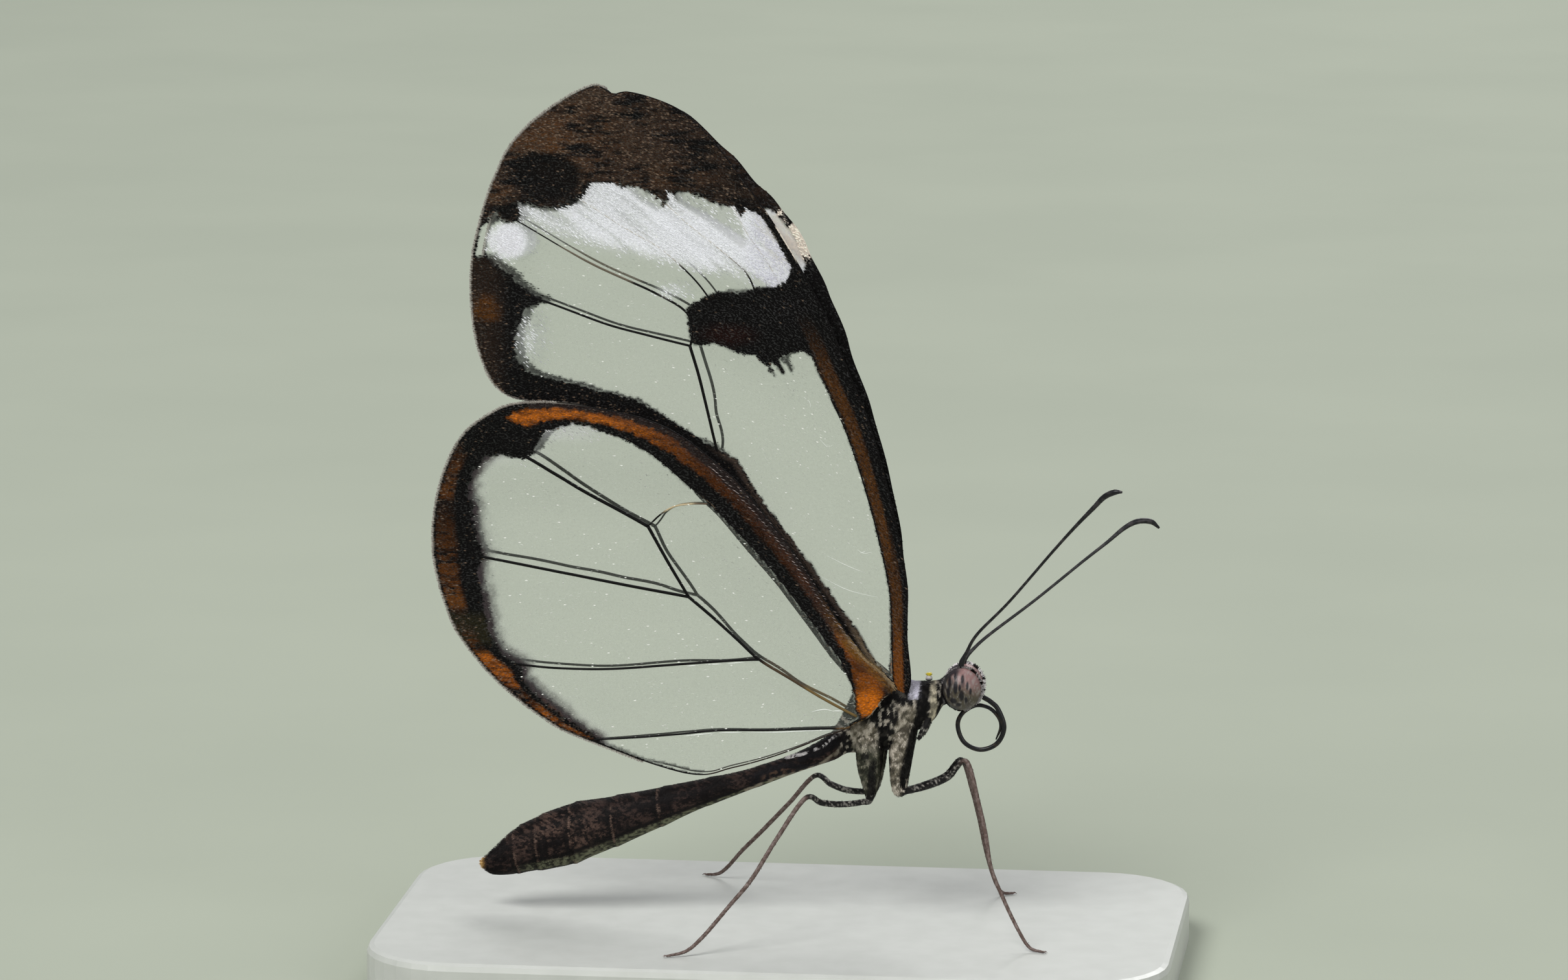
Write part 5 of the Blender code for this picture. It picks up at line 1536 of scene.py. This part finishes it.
def claws(points):
    """Two small claws at the end of a leg."""
    tip = np.array(points[-1])
    ahead = tip - np.array(points[-2])
    ahead[2] = 0
    ahead /= np.linalg.norm(ahead)
    across = np.array([-ahead[1], ahead[0], 0])
    tubes = []
    for way in (-1, 1):
        claw = [tip, tip + ahead * 0.08 + across * way * 0.05 + (0, 0, 0.03),
                tip + ahead * 0.15 + across * way * 0.07 + (0, 0, -0.03)]
        tubes.append(tube_rings(claw, (0.028, 0.02, 0.006), 0.02))
    return tubes


def add_legs(materials, rng):
    for name, knots in LEGS.items():
        points = on_side(knots, side_of(name))
        radii = [*COXA_RADII[name.split("_")[0]], *FEMUR_RADII, *TIBIA_RADII]
        rest = len(points) - len(radii)
        radii += list(np.interp(np.linspace(0, 1, rest), (0, 0.4, 0.8, 1), TARSUS_RADII))
        rings = tube_rings(points, radii, 0.06)
        tubes = [rings, *claws(points)]
        piece = skin(f"{name}_look", tubes, LIMB_SIDES, leg_colour, materials["leg"])
        finish_piece(piece, "leg_cuticle", *(f"{name}_{part}" for part in LEG_PARTS))

        def hairs(points, places, dice):
            thin = np.linalg.norm(rings[1], axis=1)[places.astype(int)] < 0.2
            spine = thin & (dice[:, 2] < 0.015)
            colour = leg_colour(points) * (0.6 + 0.8 * dice[:, :1])
            lengths = np.where(thin, 0.06, 0.1) * (0.7 + 0.6 * dice[:, 1])
            widths = np.where(spine, 0.016, np.where(thin, 0.02, 0.024))
            lifts = np.where(spine, 0.045, np.where(thin, 0.005, 0.02)) * (0.5 + dice[:, 0])
            return lengths, widths, lifts, np.where(spine[:, None], (0.03, 0.02, 0.018), colour)

        add_coat(f"coat_{name}", "leg_cuticle", materials["hair"], rings, LEG_HAIRS, rng, 0.5, 3, hairs)


def add_forelegs(materials, rng):
    """The short folded forelegs, hidden in their own hair."""
    colour_of = mottled((0.02, 0.018, 0.018), (0.28, 0.265, 0.235), 0.45, 0.75)

    def hairs(points, places, dice):
        colour = colour_of(points) * (0.7 + 0.6 * dice[:, 2:])
        return 0.07 + 0.07 * dice[:, 0], 0.022, 0.012 + 0.03 * dice[:, 1], colour

    for side, word in WORDS.items():
        rings = tube_rings(on_side(FORELEG, side), FORELEG_RADII, 0.04)
        piece = skin(f"foreleg_{word}_look", [rings], FINE_LIMB_SIDES, colour_of, materials["leg"])
        finish_piece(piece, "leg_cuticle", f"foreleg_{word}")
        add_coat(f"coat_foreleg_{word}", "leg_cuticle", materials["hair"], rings, FORELEG_HAIRS, rng,
                 0.7, 3, hairs)


def palp_colour(points):
    fine = ripple(points[:, (0, 2)], 0.09, 6)
    dark = np.maximum(smooth(fine, 0.6, 0.7), smooth(points[:, 2], 12.75, 12.9))
    return layered((0.6, 0.57, 0.6), ((0.012, 0.01, 0.012), dark))


def palp_hairs(points, places, dice):
    return 0.06 + 0.05 * dice[:, 0], 0.024, 0.01 + 0.03 * dice[:, 1], palp_colour(points)


def add_palps(materials, rng):
    for side, word in WORDS.items():
        rings = tube_rings(on_side(PALP, side), PALP_RADII, 0.04)
        piece = skin(f"palp_{word}_look", [rings], LIMB_SIDES, palp_colour, materials["skin"])
        finish_piece(piece, "body_scales", f"palp_{word}")
        add_coat(f"coat_palp_{word}", "body_scales", materials["hair"], rings, PALP_HAIRS, rng, 0.5, 2,
                 palp_hairs)


def add_antennae(materials):
    colour_of = mottled((0.008, 0.0075, 0.009), (0.03, 0.026, 0.028), 0.5, 0.8)
    for name, points in ANTENNAE.items():
        centres, first, second = tube_rings(on_side(points, side_of(name)), ANTENNA_RADII, 0.035)
        steps = np.linalg.norm(np.diff(centres, axis=0), axis=1)
        walked = np.concatenate([[0], np.cumsum(steps)]) / ANTENNA_JOINT
        joint = (1 - 0.06 * smooth(np.abs(walked % 1 - 0.5), 0.38, 0.5))[:, None]
        rings = (centres, first * joint, second * joint)
        piece = skin(f"{name}_look", [rings], FINE_LIMB_SIDES, colour_of, materials["feeler"])
        finish_piece(piece, "antenna_cuticle", f"{name}_shaft", f"{name}_club")


def add_proboscis(materials):
    points = []
    for degrees, away, y in COIL:
        turn = math.radians(degrees)
        points.append((COIL_CENTRE[0] + away * math.cos(turn), y, COIL_CENTRE[1] + away * math.sin(turn)))
    rings = tube_rings(points, COIL_RADII, 0.03)
    colour_of = mottled((0.006, 0.006, 0.007), (0.022, 0.016, 0.012), 0.45, 0.8)
    piece = skin("proboscis_look", [rings], LIMB_SIDES, colour_of, materials["feeler"])
    finish_piece(piece, "antenna_cuticle", "proboscis_upper", "proboscis_lower")


# Stage

FLOOR_SIDE = 3000.0  # half the floor's side
CAMERA_AZIMUTH, CAMERA_ELEVATION = math.radians(7), math.radians(10.5)
CAMERA_DISTANCE, CAMERA_TARGET, CAMERA_LENS = 300.0, (0, 0, 20.6), 162.4
# The lamps are (name, place, power). All shine on one place and have one size.
LAMPS = (
    ("key", (-260, -420, 620), 5.6), ("fill", (520, -380, 260), 1.4), ("back", (120, 560, 460), 2.3),
)
LAMP_TARGET, LAMP_SIZE = (0, 0, 15), 420


def add_stage(frame):
    base = plain_material("base_look", (0.50, 0.51, 0.475), (0.53, 0.54, 0.505), 900.0, 0.35, 0.1)
    for slot in frame["nodes"]["stand_base"].material_slots:
        slot.material = base
    material = plain_material("floor_look", (0.345, 0.375, 0.30), (0.36, 0.39, 0.312), 40.0, 0.9, 0.0)
    size = FLOOR_SIDE
    corners = [(-size, -size, 0), (size, -size, 0), (size, size, 0), (-size, size, 0)]
    new_object("floor", build_mesh("floor", corners, [(0, 1, 2, 3)], False), material)


def link_object(name, data, place_mm, way):
    """A camera or a lamp in its place, looking along a way."""
    thing = bpy.data.objects.new(name, data)
    thing.location = place_mm * MM
    thing.rotation_euler = way.to_track_quat("-Z", "Y").to_euler()
    bpy.context.scene.collection.objects.link(thing)
    return thing


def add_camera():
    level_share = math.cos(CAMERA_ELEVATION)
    forward = Vector((
        -math.sin(CAMERA_AZIMUTH) * level_share, math.cos(CAMERA_AZIMUTH) * level_share,
        -math.sin(CAMERA_ELEVATION),
    ))
    data = bpy.data.cameras.new("camera")
    data.lens, data.sensor_width, data.sensor_fit = CAMERA_LENS, 36.0, "HORIZONTAL"
    data.clip_start, data.clip_end = 0.01, 20.0
    place_mm = Vector(CAMERA_TARGET) - forward * CAMERA_DISTANCE
    bpy.context.scene.camera = link_object("camera", data, place_mm, forward)


def add_lights():
    for name, place_mm, power in LAMPS:
        data = bpy.data.lights.new(name, "AREA")
        data.shape, data.size, data.energy = "DISK", LAMP_SIZE * MM, power
        link_object(name, data, Vector(place_mm), Vector(LAMP_TARGET) - Vector(place_mm))
    world = bpy.data.worlds.new("world")
    bpy.context.scene.world = world
    bpy.context.scene.view_settings.view_transform = "Standard"
    world.use_nodes = True
    sky = world.node_tree.nodes["Background"]
    sky.inputs["Color"].default_value = (0.92, 0.96, 1.0, 1.0)
    sky.inputs["Strength"].default_value = 0.27


def build():
    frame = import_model()
    rng = np.random.default_rng(4)
    add_camera()
    # Each look after the first is (name, roughness, specular, noise scale, darkest, lightest, bump).
    materials = {
        "membrane": membrane_material(),
        "vein": tinted_material("vein_look", 0.55, 0.08, 6000.0, 0.8, 1.2),
        "scale": tinted_material("scale_look", 0.6, 0.04, 9000.0, 0.85, 1.15),
        "skin": tinted_material("body_skin_look", 0.7, 0.12, 7000.0, 0.7, 1.3, 0.5),
        "hair": tinted_material("body_scale_look", 0.55, 0.08, 9000.0, 0.85, 1.15),
        "eye": tinted_material("eye_look", 0.38, 0.3, 16000.0, 0.75, 1.25, 0.35),
        "leg": tinted_material("leg_look", 0.5, 0.2, 9000.0, 0.7, 1.3, 0.4),
        "feeler": tinted_material("feeler_look", 0.38, 0.3, 9000.0, 0.8, 1.2, 0.2),
    }
    for add in (add_wings, add_trunk, add_tail_tuft, add_neck_knob, add_eyes, add_legs, add_forelegs,
                add_palps):
        add(materials, rng)
    add_antennae(materials)
    add_proboscis(materials)
    add_stage(frame)
    add_lights()


build()
